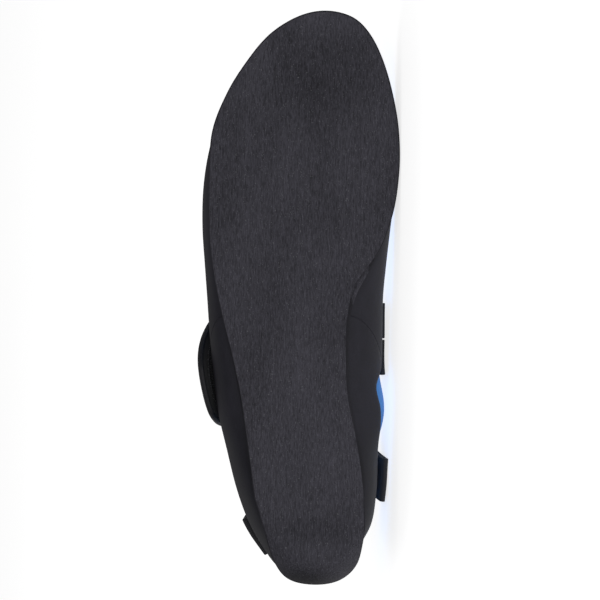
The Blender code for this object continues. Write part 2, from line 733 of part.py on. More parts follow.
def solid_centre(piece):
    """Volume and centre of a closed mesh, from the signed tetrahedra of its triangles."""
    data = piece.data
    data.calc_loop_triangles()
    volume, moment = 0.0, Vector((0, 0, 0))
    for triangle in data.loop_triangles:
        a, b, c = (data.vertices[k].co for k in triangle.vertices)
        part = a.dot(b.cross(c)) / 6
        volume += part
        moment += (a + b + c) / 4 * part
    return volume, moment / volume


def resting_face(pieces):
    """The face of the hull of all pieces that the shoe comes to rest on: it is let down on its inner side,
    leaning a little to the upper, so that the sole's edge and the upper both touch the floor."""
    hull = bmesh.new()
    weight, moment = 0.0, Vector((0, 0, 0))
    for piece in pieces:
        volume, centre = solid_centre(piece)
        mass = volume * DENSITIES[SUBSTANCES.get(piece.name, "cloth")]
        weight += mass
        moment += centre * mass
        for vertex in piece.data.vertices:
            hull.verts.new(vertex.co)
    centre = moment / weight
    made = bmesh.ops.convex_hull(hull, input=hull.verts)
    faces = [item for item in made["geom"] if isinstance(item, bmesh.types.BMFace)]
    for face in faces:
        face.normal_update()
        if face.normal.dot(face.calc_center_median() - centre) < 0:
            face.normal_flip()
    down, chosen = Vector((0, 1, 0.2)).normalized(), None
    for _ in range(20):
        reach = [(face.normal.dot(face.verts[0].co - centre) / max(face.normal.dot(down), 1e-9), k)
                 for k, face in enumerate(faces) if face.normal.dot(down) > 0]
        nearest = min(reach)[1]
        if nearest == chosen:
            break
        chosen = nearest
        down = faces[chosen].normal.copy()
    hull.free()
    return down


def lay_down(pieces):
    """Lay the shoe on its resting face, toe towards +X, with the middle of its box over the origin."""
    up = -resting_face(pieces)
    along = (Vector((1, 0, 0)) - up * up.x).normalized()
    across = up.cross(along)
    turn = Matrix((along, across, up))
    spots = [turn @ vertex.co for piece in pieces for vertex in piece.data.vertices]
    low = [min(spot[k] for spot in spots) for k in range(3)]
    high = [max(spot[k] for spot in spots) for k in range(3)]
    shift = Vector((-(low[0] + high[0]) / 2, -(low[1] + high[1]) / 2, -low[2]))
    pose = bpy.data.objects.new("lying_pose", None)
    bpy.context.scene.collection.objects.link(pose)
    pose.rotation_euler = turn.to_euler()
    pose.location = shift
    for piece in pieces:
        piece.parent = pose
    bpy.context.view_layer.update()


def main():
    for item in list(bpy.data.objects):
        bpy.data.objects.remove(item)
    pieces = [make_upper(), make_outsole(), make_insole(), make_tongue(), make_strap()]
    pieces += make_rands()
    pieces += [make_pull_loop(*row) for row in LOOPS]
    lay_down(pieces)


main()
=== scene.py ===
"""A climbing shoe for the right foot, lying on its inner side and seen from below.

The shoe is shaped standing, as on its maker's bench: x from heel to toe, y to the inner side of the
foot and z up from the ground. Each finished piece is then laid on the floor.
"""
import math
from bisect import bisect_left
from functools import lru_cache

import bmesh
import bpy
from mathutils import Euler, Matrix, Vector


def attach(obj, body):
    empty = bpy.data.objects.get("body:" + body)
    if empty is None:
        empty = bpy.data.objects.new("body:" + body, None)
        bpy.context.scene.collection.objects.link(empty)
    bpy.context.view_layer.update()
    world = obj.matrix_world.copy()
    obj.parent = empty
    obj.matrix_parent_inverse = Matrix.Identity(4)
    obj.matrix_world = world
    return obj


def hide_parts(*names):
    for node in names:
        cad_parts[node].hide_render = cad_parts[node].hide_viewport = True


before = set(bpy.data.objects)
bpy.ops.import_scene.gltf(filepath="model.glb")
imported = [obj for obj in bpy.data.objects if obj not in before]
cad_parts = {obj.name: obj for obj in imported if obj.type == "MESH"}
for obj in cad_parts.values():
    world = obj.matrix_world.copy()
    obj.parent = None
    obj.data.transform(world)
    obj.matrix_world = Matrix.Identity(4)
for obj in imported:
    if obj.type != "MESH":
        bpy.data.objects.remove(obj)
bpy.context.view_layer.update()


# The upper
# A shell of blue suede, sewn from panels, stretched wet over a foot-shaped last and glued to it, with its
# lower edge turned under the foot. It is lined with knitted cloth and bound with tape round the collar.

LENGTH = 0.262
BALL_WIDTH = 0.0905
INSTEP_HEIGHT = 0.075
WIDEST_HEIGHT = 0.034
TOE_SPRING = 0.004
ARCH_RISE = 0.0036
SOLE_SHEET = 0.004
SOLE_CURL = 0.0025
RAND_SHEET = 0.0015
RAND_SET_BACK = 0.001
UPPER_WALL = 0.002
CLEAR = 0.0003
FEATHER_FROM_HEEL = 0.014
FEATHER_FROM_TOE = 0.007
MARGIN_FROM_HEEL = 0.024
MARGIN_FROM_TOE = 0.018
MARGIN_SHARE = 0.68
RIDGE_FROM_HEEL = 0.052
RIDGE_FROM_TOE = 0.019
THROAT_ALONG = 0.56
TURN_STEP = 0.01
LEVEL_STEP = 0.02
SAME = 1e-6
NEAR_WHOLE = 0.98
SHARP_EDGE, ROUNDED_EDGE = math.radians(40), math.radians(50)
UPPER_FACE = RAND_SHEET + CLEAR
UPPER_MIDDLE = UPPER_FACE + UPPER_WALL / 2

# How the shoe lies: it has turned over its inner side and rests there on sole edge, rand and pull loop
LYING = (Matrix.Translation((-0.1316323, -0.0420036, 0.0418766))
         @ Euler((math.radians(-96.87458), math.radians(-0.40857), 0)).to_matrix().to_4x4())

# The last's plan in shares of the ball width, positive to the outer side
PLAN_COLUMNS = ("along", "wide_out", "wide_in", "feather_out", "feather_in", "edge_out", "edge_in")
PLAN = (
    (0.000, -0.055, -0.055, -0.055, -0.055, -0.055, -0.055),
    (0.007, 0.060, -0.160, 0.046, -0.154, 0.050, -0.158),
    (0.025, 0.140, -0.232, 0.090, -0.206, 0.100, -0.214),
    (0.060, 0.215, -0.276, 0.160, -0.249, 0.188, -0.271),
    (0.100, 0.280, -0.335, 0.204, -0.260, 0.245, -0.298),
    (0.160, 0.344, -0.362, 0.243, -0.263, 0.270, -0.283),
    (0.230, 0.394, -0.377, 0.276, -0.238, 0.296, -0.251),
    (0.300, 0.440, -0.424, 0.307, -0.203, 0.324, -0.214),
    (0.370, 0.463, -0.395, 0.345, -0.194, 0.365, -0.206),
    (0.440, 0.482, -0.394, 0.390, -0.198, 0.413, -0.213),
    (0.500, 0.493, -0.396, 0.420, -0.227, 0.448, -0.254),
    (0.560, 0.505, -0.411, 0.440, -0.309, 0.473, -0.370),
    (0.620, 0.516, -0.430, 0.446, -0.370, 0.482, -0.434),
    (0.700, 0.510, -0.457, 0.439, -0.398, 0.480, -0.471),
    (0.780, 0.468, -0.456, 0.407, -0.402, 0.464, -0.470),
    (0.850, 0.392, -0.432, 0.347, -0.378, 0.389, -0.438),
    (0.910, 0.291, -0.387, 0.260, -0.340, 0.286, -0.390),
    (0.955, 0.188, -0.328, 0.160, -0.287, 0.182, -0.330),
    (0.985, 0.080, -0.255, 0.055, -0.227, 0.061, -0.253),
    (1.000, -0.101, -0.101, -0.101, -0.101, -0.101, -0.101),
)

# The last's sections: heights of the widest line, place and height of the ridge, how full the sides are
# and the angle at which the wall stops at the collar and the throat
SECTION_COLUMNS = ("along", "high_out", "high_in", "ridge_across", "ridge_high", "bow_out", "bow_in", "open")
SECTIONS = (
    (0.000, 0.76, 0.76, -0.040, 1.653, 1.14, 1.14, 35.0),
    (0.050, 0.78, 0.74, -0.030, 1.600, 1.14, 1.14, 33.0),
    (0.100, 0.80, 0.74, -0.022, 1.490, 1.14, 1.12, 31.0),
    (0.160, 0.80, 0.80, -0.012, 1.320, 1.10, 1.05, 34.0),
    (0.220, 0.78, 0.88, -0.005, 1.160, 1.04, 0.95, 41.0),
    (0.280, 0.74, 0.94, 0.000, 1.060, 0.98, 0.84, 51.0),
    (0.330, 0.71, 0.96, -0.004, 0.990, 0.95, 0.78, 61.0),
    (0.380, 0.68, 0.96, -0.010, 0.930, 0.94, 0.76, 67.0),
    (0.430, 0.65, 0.92, -0.016, 0.872, 0.94, 0.77, 70.0),
    (0.500, 0.60, 0.82, -0.026, 0.800, 0.93, 0.80, 73.0),
    (0.545, 0.57, 0.74, -0.034, 0.755, 0.93, 0.83, 77.0),
    (0.620, 0.53, 0.58, -0.046, 0.684, 0.92, 0.87, 90.0),
    (0.700, 0.50, 0.44, -0.062, 0.612, 0.90, 0.88, 90.0),
    (0.780, 0.48, 0.42, -0.080, 0.542, 0.88, 0.87, 90.0),
    (0.860, 0.46, 0.44, -0.096, 0.472, 0.87, 0.87, 90.0),
    (0.930, 0.44, 0.44, -0.104, 0.415, 0.87, 0.87, 90.0),
    (1.000, 0.41, 0.41, -0.106, 0.372, 0.87, 0.87, 90.0),
)

# How far the ground side of the sole is lifted, in shares of the arch's rise and the toe's spring
TREAD_COLUMNS = ("along", "arch", "spring")
TREAD = (
    (0.00, 0.00, 0.00),
    (0.12, 0.00, 0.00),
    (0.19, 0.00, 0.00),
    (0.28, 0.45, 0.00),
    (0.38, 1.00, 0.00),
    (0.47, 0.80, 0.00),
    (0.55, 0.15, 0.00),
    (0.60, 0.00, 0.00),
    (0.81, 0.00, 0.00),
    (0.87, 0.00, 0.14),
    (0.94, 0.00, 0.50),
    (1.00, 0.00, 1.00),
)


def column(table, names, name):
    return [row[names.index(name)] for row in table]


def held(value, low, high):
    return min(max(value, low), high)


def between(start, end, share):
    return start + (end - start) * share


def shares(steps):
    """Even steps from 0 to 1, both ends with them."""
    return [k / steps for k in range(steps + 1)]


def smooth(knots, values, at):
    """Read a smooth curve through the knots; a stretch between two equal values stays level."""
    last = len(knots) - 1
    index = held(bisect_left(knots, at) - 1, 0, last - 1)
    width = knots[index + 1] - knots[index]
    rise = values[index + 1] - values[index]

    def slope(k):
        before = (values[k] - values[k - 1]) / (knots[k] - knots[k - 1]) if k > 0 else None
        after = (values[k + 1] - values[k]) / (knots[k + 1] - knots[k]) if k < last else None
        if before is None or after is None:
            return after if before is None else before
        if before == 0 or after == 0:
            return 0.0
        left, right = knots[k] - knots[k - 1], knots[k + 1] - knots[k]
        return (before * right + after * left) / (left + right)

    t = (at - knots[index]) / width
    start, end = slope(index) * width, slope(index + 1) * width
    bend = t * (1 - t)
    return values[index] + rise * t + bend * ((start - rise) * (1 - t) - (end - rise) * t)


def turn_of(along):
    """Where a column of the last's skin stands: 0 at the heel, half a turn at the toe."""
    return math.acos(1 - 2 * along)


def along_of(turn):
    return (1 - math.cos(turn)) / 2


def reader(table, names, name):
    """A smooth curve through one column of a table, read by its first column."""
    knots, values = column(table, names, names[0]), column(table, names, name)
    return lambda at: smooth(knots, values, at)


def around(table, names, outer, inner=None):
    """A value read all round the last: positive turns run along the outer side, negative the inner."""
    turns = [turn_of(along) for along in column(table, names, "along")]
    out_values = column(table, names, outer)
    in_values = column(table, names, inner or outer)
    knots = [-t for t in reversed(turns)] + turns[1:]
    values = list(reversed(in_values)) + out_values[1:]
    full = 2 * math.pi
    values = values[-4:-1] + values + values[1:4]
    knots = [k - full for k in knots[-4:-1]] + knots + [k + full for k in knots[1:4]]
    return lru_cache(None)(lambda turn: smooth(knots, values, turn))


wide_across = around(PLAN, PLAN_COLUMNS, "wide_out", "wide_in")
feather_across = around(PLAN, PLAN_COLUMNS, "feather_out", "feather_in")
edge_across = around(PLAN, PLAN_COLUMNS, "edge_out", "edge_in")
widest_high = around(SECTIONS, SECTION_COLUMNS, "high_out", "high_in")
ridge_across = around(SECTIONS, SECTION_COLUMNS, "ridge_across")
ridge_high = around(SECTIONS, SECTION_COLUMNS, "ridge_high")
bow = around(SECTIONS, SECTION_COLUMNS, "bow_out", "bow_in")
open_angle = around(SECTIONS, SECTION_COLUMNS, "open")


arch_share = reader(TREAD, TREAD_COLUMNS, "arch")
spring_share = reader(TREAD, TREAD_COLUMNS, "spring")


@lru_cache(None)
def tread_high(x):
    """Height of the tread above the ground at x."""
    along = held(x / LENGTH, 0, 1)
    return ARCH_RISE * arch_share(along) + TOE_SPRING * spring_share(along)


def plan_point(across, turn, heel, toe):
    """A point of one of the plan's curves, whose second value is to the outer side."""
    return Vector((between(heel, toe, along_of(turn)), BALL_WIDTH * across(turn)))


def feather_point(turn):
    return plan_point(feather_across, turn, FEATHER_FROM_HEEL, LENGTH - FEATHER_FROM_TOE)


def edge_point(turn):
    return plan_point(edge_across, turn, FEATHER_FROM_HEEL, LENGTH)


def margin_point(turn):
    """The inner end of the margin that is turned under the foot."""
    feather = feather_point(turn)
    centre = (feather.y + feather_point(-turn).y) / 2
    along = between(MARGIN_FROM_HEEL, LENGTH - MARGIN_FROM_TOE, along_of(turn))
    return Vector((along, between(centre, feather.y, MARGIN_SHARE)))


def moved_in(line, turn, depth):
    """A point of a line round the shoe, moved inwards by depth at right angles to the line."""
    tangent = (line(turn + TURN_STEP) - line(turn - TURN_STEP)).normalized()
    return line(turn) - Vector((-tangent.y, tangent.x)) * depth


def widest_point(turn, depth):
    return moved_in(lambda at: plan_point(wide_across, at, SOLE_CURL + CLEAR, LENGTH - RAND_SET_BACK),
                    turn, depth)


def ridge_point(turn):
    along = between(RIDGE_FROM_HEEL, LENGTH - RIDGE_FROM_TOE, along_of(turn))
    return Vector((along, BALL_WIDTH * ridge_across(turn)))


def skin(turn, level, depth, under=None):
    """A point of the shoe's skin, depth inside the rand's outer face, and under above its bottom.

    Level -1 is the inner end of the margin under the foot, 0 the feather line, where bottom and wall
    meet, 1 the widest line and 2 the ridge over the foot.
    """
    under = depth if under is None else under
    feather = feather_point(turn)
    base = SOLE_SHEET + CLEAR + under
    if level <= 0:
        plan = margin_point(turn).lerp(feather, level + 1)
        return Vector((plan.x, -plan.y, tread_high(plan.x) + base))
    wide = widest_point(turn, depth)
    wide_high = WIDEST_HEIGHT * widest_high(turn)
    if level <= 1:
        angle = level * math.pi / 2
        plan = feather.lerp(wide, math.sin(angle))
        low = tread_high(feather.x) + base
        return Vector((plan.x, -plan.y, wide_high - (wide_high - low) * math.cos(angle)))
    angle = min((level - 1) * math.pi / 2, math.pi / 2)
    power = bow(turn)
    plan = ridge_point(turn).lerp(wide, max(math.cos(angle), 0) ** power)
    high = INSTEP_HEIGHT * ridge_high(turn) - depth
    return Vector((plan.x, -plan.y, wide_high + (high - wide_high) * math.sin(angle) ** power))


def top_level(turn):
    """The level at which the upper ends: the ridge where the vamp is closed, else the opening's edge."""
    turn = (turn + math.pi) % (2 * math.pi) - math.pi
    return 2.0 if abs(turn) >= turn_of(THROAT_ALONG) - SAME else 1 + open_angle(turn) / 90


def level_at(reach, turn):
    """The level over the widest line where the skin is a given share as wide as there."""
    return 1 + math.acos(min(reach, NEAR_WHOLE) ** (1 / bow(turn))) / (math.pi / 2)


def even_turns(count):
    """Columns all round the shoe, with one on each end of the throat."""
    throat = turn_of(THROAT_ALONG)
    back = round(count * throat / math.pi)
    side = [throat * k / back for k in range(back)]
    side += [throat + (math.pi - throat) * k / (count - back) for k in range(count - back + 1)]
    return side + [-t for t in reversed(side[1:-1])]


class Wire:
    """A shader socket to reckon with: numbers by Math, vectors and colours by Vector Math."""

    def __init__(self, finish, socket):
        self.finish, self.socket = finish, socket

    def reckon(self, operation, first, second):
        flows = [side.socket.type for side in (first, second) if isinstance(side, Wire)]
        kind = "ShaderNodeMath" if set(flows) <= {"VALUE"} else "ShaderNodeVectorMath"
        return self.finish.node(kind, {"operation": operation}, {0: first, 1: second})

    def __add__(self, other):
        return self.reckon("ADD", self, other)

    def __sub__(self, other):
        return self.reckon("SUBTRACT", self, other)

    def __mul__(self, other):
        return self.reckon("MULTIPLY", self, other)

    def __rsub__(self, other):
        return self.reckon("SUBTRACT", other, self)

    __radd__ = __add__
    __rmul__ = __mul__


class Finish:
    """One material: a Principled shader and the nodes that feed it."""

    def __init__(self, name, **steady):
        self.material = bpy.data.materials.new(name)
        self.material.use_nodes = True
        self.tree = self.material.node_tree
        self.shader = self.tree.nodes["Principled BSDF"]
        for socket, value in steady.items():
            self.shader.inputs[socket.replace("_", " ")].default_value = value

    def node(self, kind, settings=None, sockets=None, output=0):
        """Add a node: its settings first, then its sockets' values or wires."""
        made = self.tree.nodes.new(kind)
        for name, value in (settings or {}).items():
            setattr(made, name, value)
        for name, value in (sockets or {}).items():
            self.plug(made.inputs[name], value)
        return Wire(self, made.outputs[output])

    def plug(self, socket, value):
        if isinstance(value, Wire):
            self.tree.links.new(value.socket, socket)
        elif hasattr(socket.default_value, "__len__") and not hasattr(value, "__len__"):
            socket.default_value = (value,) * len(socket.default_value)
        else:
            socket.default_value = value

    def where(self, source="Object"):
        """Where a point is on the laid piece, or with UV on its flat cut."""
        return self.node("ShaderNodeTexCoord", output=source)

    def place(self, cell, flat=False):
        """Where a point is, in cells of the given size."""
        return self.where("UV" if flat else "Object") * tuple(1 / size for size in cell)

    def noise(self, cell, detail=3.0, rough=0.55, flat=False):
        return self.node("ShaderNodeTexNoise", None, {"Vector": self.place(cell, flat), "Scale": 1.0,
                                                      "Detail": detail, "Roughness": rough})

    def loops(self, cell, random, flat=False):
        """Small cells in rows: 0 in the middle of each."""
        return self.node("ShaderNodeTexVoronoi", {"feature": "F1"},
                         {"Vector": self.place(cell, flat), "Scale": 1.0, "Randomness": random})

    def patch(self, standing, reach):
        """A soft patch round a point of the standing shoe: 1 in its middle, 0 from its reach on."""
        away = (self.where() - tuple(LYING @ Vector(standing))) * tuple(1 / size for size in reach)
        far = self.node("ShaderNodeVectorMath", {"operation": "LENGTH"}, {0: away}, output=1)
        return self.node("ShaderNodeMapRange", {"interpolation_type": "SMOOTHSTEP"},
                         {"Value": far, "From Min": 1.0, "From Max": 0.0})

    def high(self):
        """How high a point of the standing shoe is above the ground, in metres."""
        up = LYING.to_3x3() @ Vector((0, 0, 1))
        return self.node("ShaderNodeVectorMath", {"operation": "DOT_PRODUCT"},
                         {0: self.where() - tuple(LYING.translation), 1: tuple(up)}, output=1)

    def number(self, mask, low, high, start=0.0, end=1.0):
        """Move a value from start..end to low..high, held at both ends."""
        return self.node("ShaderNodeMapRange", None, {"Value": mask, "From Min": start, "From Max": end,
                                                      "To Min": low, "To Max": high})

    def mixed(self, mask, first, second):
        first, second = [side if isinstance(side, Wire) else (*side, 1) for side in (first, second)]
        return self.node("ShaderNodeMix", {"data_type": "RGBA"}, {0: mask, 6: first, 7: second}, output=2)

    def wear(self, colour, roughness=None, bump=None, height=0.0001):
        """Feed the shader with what changes over the surface."""
        self.plug(self.shader.inputs["Base Color"], colour)
        if roughness:
            self.plug(self.shader.inputs["Roughness"], roughness)
        if bump:
            normal = self.node("ShaderNodeBump", None, {"Height": bump, "Distance": height, "Strength": 1.0})
            self.plug(self.shader.inputs["Normal"], normal)
        return self.material


def suede(name, colour, dark):
    """Brushed leather: a fine nap that lies this way and that, and slightly cloudy dye."""
    look = Finish(name, Roughness=0.9, Sheen_Weight=0.05, Sheen_Roughness=0.5, Specular_IOR_Level=0.15)
    nap = look.noise((0.0011, 0.0007, 0.0007), 4.0)
    clouds = look.noise((0.02, 0.012, 0.012), 2.0)
    fibres = look.noise((0.0003, 0.0003, 0.0003), 2.0)
    shade = look.number(nap * 0.5 + clouds * 0.7 + fibres * 0.3, 0.0, 1.0, 0.45, 1.05)
    return look.wear(look.mixed(shade, dark, colour), look.number(nap, 0.78, 0.95),
                     nap * 0.6 + fibres * 0.5, 0.00012)


def knit(name, colour, dark, cell=0.0011):
    """Knitted lining cloth: rows of small loops."""
    look = Finish(name, Roughness=0.95, Sheen_Weight=0.2)
    shade = look.number(look.loops((cell, cell, 1), 0.25, flat=True), 1.0, 0.0, 0.1, 0.7)
    return look.wear(look.mixed(shade, dark, colour), None, shade, 0.0002)


def sheet(name, outer, inner, closed=False, kept=None, flat=None, inner_finish=0, wall_finish=0):
    """A sheet of material with two faces and walls round every edge, from two grids of points.

    Its flat cut is kept as a UV map in metres, given point by point or measured along the grid's middle.
    """
    mesh = bmesh.new()
    cut = mesh.loops.layers.uv.new("cut")
    grids = [[[mesh.verts.new(point) for point in row] for row in grid] for grid in (outer, inner)]
    count, rows = len(outer), len(outer[0])
    spans = count if closed else count - 1
    half = rows // 2
    along, across = [0.0], [0.0]
    for i in range(spans):
        along.append(along[-1] + (outer[(i + 1) % count][half] - outer[i][half]).length)
    for j in range(rows - 1):
        across.append(across[-1] + (outer[count // 2][j + 1] - outer[count // 2][j]).length)

    def there(i, j):
        if closed:
            i %= count
        inside = 0 <= i < spans and 0 <= j < rows - 1
        return inside and (kept is None or kept[i][j])

    def face(points, spots, finish):
        made = mesh.faces.new(points)
        made.material_index = finish
        for loop, (i, j) in zip(made.loops, spots):
            loop[cut].uv = flat[i][j] if flat else (along[i], across[j])

    top, under = grids
    for i in range(spans):
        for j in range(rows - 1):
            if not there(i, j):
                continue
            spots = ((i, j), (i + 1, j), (i + 1, j + 1), (i, j + 1))
            face([top[a % count][b] for a, b in spots], spots, 0)
            face([under[a % count][b] for a, b in reversed(spots)], spots[::-1], inner_finish)
            for beyond, a, b in (((i - 1, j), spots[3], spots[0]), ((i + 1, j), spots[1], spots[2]),
                                 ((i, j - 1), spots[0], spots[1]), ((i, j + 1), spots[2], spots[3])):
                if not there(*beyond):
                    face([top[b[0] % count][b[1]], top[a[0] % count][a[1]],
                          under[a[0] % count][a[1]], under[b[0] % count][b[1]]], (b, a, a, b), wall_finish)
    return laid(name, mesh)


def placed(name, data):
    thing = bpy.data.objects.new(name, data)
    bpy.context.scene.collection.objects.link(thing)
    return thing


def laid(name, mesh):
    """Close a mesh, lay it on the floor with the shoe, and make it a piece."""
    bmesh.ops.remove_doubles(mesh, verts=mesh.verts, dist=SAME)
    bmesh.ops.dissolve_degenerate(mesh, dist=SAME, edges=mesh.edges)
    bmesh.ops.recalc_face_normals(mesh, faces=mesh.faces)
    mesh.transform(LYING)
    data = bpy.data.meshes.new(name)
    mesh.to_mesh(data)
    mesh.free()
    data.shade_smooth()
    data.set_sharp_from_angle(angle=SHARP_EDGE)
    piece = placed(name, data)
    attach(piece, "root")
    return piece


def rounded(piece, width, steps=2):
    """Round the piece's sharp edges."""
    bevel = piece.modifiers.new("rounding", "BEVEL")
    bevel.width = width
    bevel.segments = steps
    bevel.limit_method = "ANGLE"
    bevel.angle_limit = ROUNDED_EDGE
    bevel.use_clamp_overlap = True
    return piece


def dress(piece, slot, *materials):
    for material in materials:
        piece.data.materials.append(material)
    return piece


# Soft creases where the foot bends: along, side (1 is the outer one), level, size along
# and across, and depth
CREASES = (
    (0.640, -1, 1.62, 0.020, 0.30, 0.0007), (0.605, -1, 1.45, 0.016, 0.26, -0.0005),
    (0.660, 1, 1.55, 0.018, 0.28, 0.0006), (0.625, 1, 1.38, 0.016, 0.26, -0.0004),
    (0.300, -1, 1.18, 0.022, 0.20, 0.0006), (0.330, 1, 1.22, 0.020, 0.22, 0.0005),
    (0.120, 1, 1.18, 0.018, 0.16, 0.0005), (0.140, -1, 1.15, 0.018, 0.16, 0.0005),
)
CREASE_NARROW = 0.9


def crease(turn, level):
    """How far the leather dips at a point of the skin."""
    along = along_of(turn)
    dip = 0.0
    for centre, side, height, wide, tall, deep in CREASES:
        if side * turn > 0:
            away = (along - centre) / wide * CREASE_NARROW
            dip += deep * math.exp(-away ** 2 - ((level - height) / tall) ** 2)
    return dip


def make_upper():
    columns_round, low_steps, high_steps, crease_fade = 130, 10, 26, 6
    faces = []
    for depth in (UPPER_FACE, UPPER_FACE + UPPER_WALL):
        grid = []
        for turn in even_turns(columns_round):
            top = top_level(turn)
            levels = [-1, -0.5] + shares(low_steps)[:-1]
            levels += [between(1, top, share) for share in shares(high_steps)]
            fades = [held((top - level) * crease_fade, 0, 1) for level in levels]
            grid.append([skin(turn, level, depth + crease(turn, level) * fade)
                         for level, fade in zip(levels, fades)])
        faces.append(grid)
    return sheet("upper_shell", faces[0], faces[1], closed=True, inner_finish=1, wall_finish=1)


BLUE, DEEP_BLUE = (0.060, 0.235, 0.560), (0.030, 0.130, 0.360)
blue_suede = suede("blue suede", BLUE, DEEP_BLUE)
grey_knit = knit("grey lining knit", (0.075, 0.080, 0.090), (0.022, 0.024, 0.028))
upper = dress(make_upper(), "upper_leather", blue_suede, grey_knit)
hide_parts("upper")


# The collar's binding and its seams
# A soft knitted tape folded over the upper's cut edge all the way round collar and throat, and sewn
# through with one row of thread. A suede patch lies over the front end of the throat.

TAPE = 0.0006
TAPE_DROPS = (0.0055, 0.004, 0.0025, 0.001)
TAPE_END = 0.985
TAPE_SEAM_DROP, TAPE_SEAM_END = 0.0042, 0.975
THREAD = 0.00026
STITCH, STITCH_GAP = 0.0024, 0.0009
STITCH_HIGH = 0.00022
THREAD_SUNK, THREAD_ENDS, THREAD_SIDES = 0.35, 0.75, 6
TAPE_CLEAR = 0.0001
OUTWARD_STEP = 0.001
BENDS = [math.pi * k / 6 for k in range(1, 6)]
PATCH_BACK, PATCH_FRONT = 0.556, 0.622
PATCH_HALF_WIDTH, PATCH_EDGE, PATCH_BLUNT = 0.0165, 0.0008, 3.2
PATCH_SHEET = 0.0011


def wall_drop(turn, metres, depth):
    """A point of the wall, some way below the opening's edge."""
    top = top_level(turn)
    drop = (skin(turn, top, depth) - skin(turn, top - LEVEL_STEP, depth)).length
    return skin(turn, top - metres * LEVEL_STEP / drop, depth)


def edge_frame(turn, side):
    """The middle of the opening's edge, with the ways up, outwards and along it."""
    top = top_level(turn)
    edge = skin(turn, top, UPPER_MIDDLE)
    up = (edge - skin(turn, top - LEVEL_STEP, UPPER_MIDDLE)).normalized()
    along = skin(turn + TURN_STEP, top, UPPER_MIDDLE) - skin(turn - TURN_STEP, top, UPPER_MIDDLE)
    along = (along - up * along.dot(up)).normalized() * side
    return edge, up, along.cross(up) * side, along


def folded_over(turn, reach):
    """Points from the wall's outer face over its edge and down inside, reach away from its middle."""
    edge, up, outwards, _ = edge_frame(turn, 1 if turn >= 0 else -1)
    if (wall_drop(turn, OUTWARD_STEP, UPPER_MIDDLE - reach) - edge).dot(outwards) < 0:
        outwards = -outwards
    spots = [wall_drop(turn, drop, UPPER_MIDDLE - reach) for drop in TAPE_DROPS]
    spots += [edge + outwards * reach * math.cos(a) + up * reach * math.sin(a) for a in BENDS]
    return spots + [wall_drop(turn, drop, UPPER_MIDDLE + reach) for drop in TAPE_DROPS[::-1]]


def course(spots, k):
    """The way a path runs at one of its points."""
    return spots[min(k + 1, len(spots) - 1)] - spots[max(k - 1, 0)]


def ring_about(mesh, centre, beside, over, radius, sides):
    angles = [math.pi * m / (sides / 2) for m in range(sides)]
    return [mesh.verts.new(centre + (beside * math.cos(a) + over * math.sin(a)) * radius) for a in angles]


def joined(mesh, rings, ends=True):
    """Join rings of points into a tube, with closed ends if asked."""
    for near, far in zip(rings, rings[1:]):
        for m in range(len(near)):
            k = (m + 1) % len(near)
            mesh.faces.new((near[m], near[k], far[k], far[m]))
    if ends:
        mesh.faces.new(rings[0][::-1])
        mesh.faces.new(rings[-1])


def stitches(name, spots, stitch=STITCH, gap=STITCH_GAP):
    """A row of thread stitches along points that each carry the surface's outward direction."""
    mesh = bmesh.new()
    lengths = [0.0]
    for (a, _), (b, _) in zip(spots, spots[1:]):
        lengths.append(lengths[-1] + (b - a).length)

    def at(run):
        k = held(bisect_left(lengths, run) - 1, 0, len(spots) - 2)
        share = (run - lengths[k]) / max(lengths[k + 1] - lengths[k], 1e-9)
        return spots[k][0].lerp(spots[k + 1][0], share), spots[k][1].lerp(spots[k + 1][1], share).normalized()

    near = 0.0002
    for n in range(int(lengths[-1] / (stitch + gap))):
        start = n * (stitch + gap)
        rings = []
        for share in shares(4):
            point, outwards = at(start + stitch * share)
            ahead = at(start + stitch * share + near)[0] - at(start + stitch * share - near)[0]
            swell = math.sin(math.pi * share)
            centre = point + outwards * (STITCH_HIGH * swell - THREAD * THREAD_SUNK)
            rings.append(ring_about(mesh, centre, ahead.normalized().cross(outwards), outwards,
                                    THREAD * between(THREAD_ENDS, 1, swell), THREAD_SIDES))
        joined(mesh, rings)
    return laid(name, mesh)


def grained(name, cell, detail, dark, pale, high, dull=None, **steady):
    """One fine grain that changes tone and height, and gloss where dull gives its two ends."""
    look = Finish(name, **steady)
    grain = look.noise(cell, detail)
    return look.wear(look.mixed(grain, dark, pale), look.number(grain, *dull) if dull else None, grain, high)


def thread_finish(name, colour):
    """Twisted polyester thread."""
    return grained(name, (0.0002, 0.0004, 0.0004), 1.0, [c * 0.6 for c in colour], colour, 0.00005,
                   Roughness=0.55, Sheen_Weight=0.1)


def outward_row(pairs):
    """Points with their outward directions, from points each given with one that lies further out."""
    return [(here, (further - here).normalized()) for here, further in pairs]


def make_binding():
    throat = turn_of(THROAT_ALONG) * TAPE_END
    turns = [between(-throat, throat, share) for share in shares(150)]
    grids = [[folded_over(turn, UPPER_WALL / 2 + off) for turn in turns]
             for off in (TAPE + TAPE_CLEAR, TAPE_CLEAR)]
    return sheet("collar_binding", grids[0], grids[1])


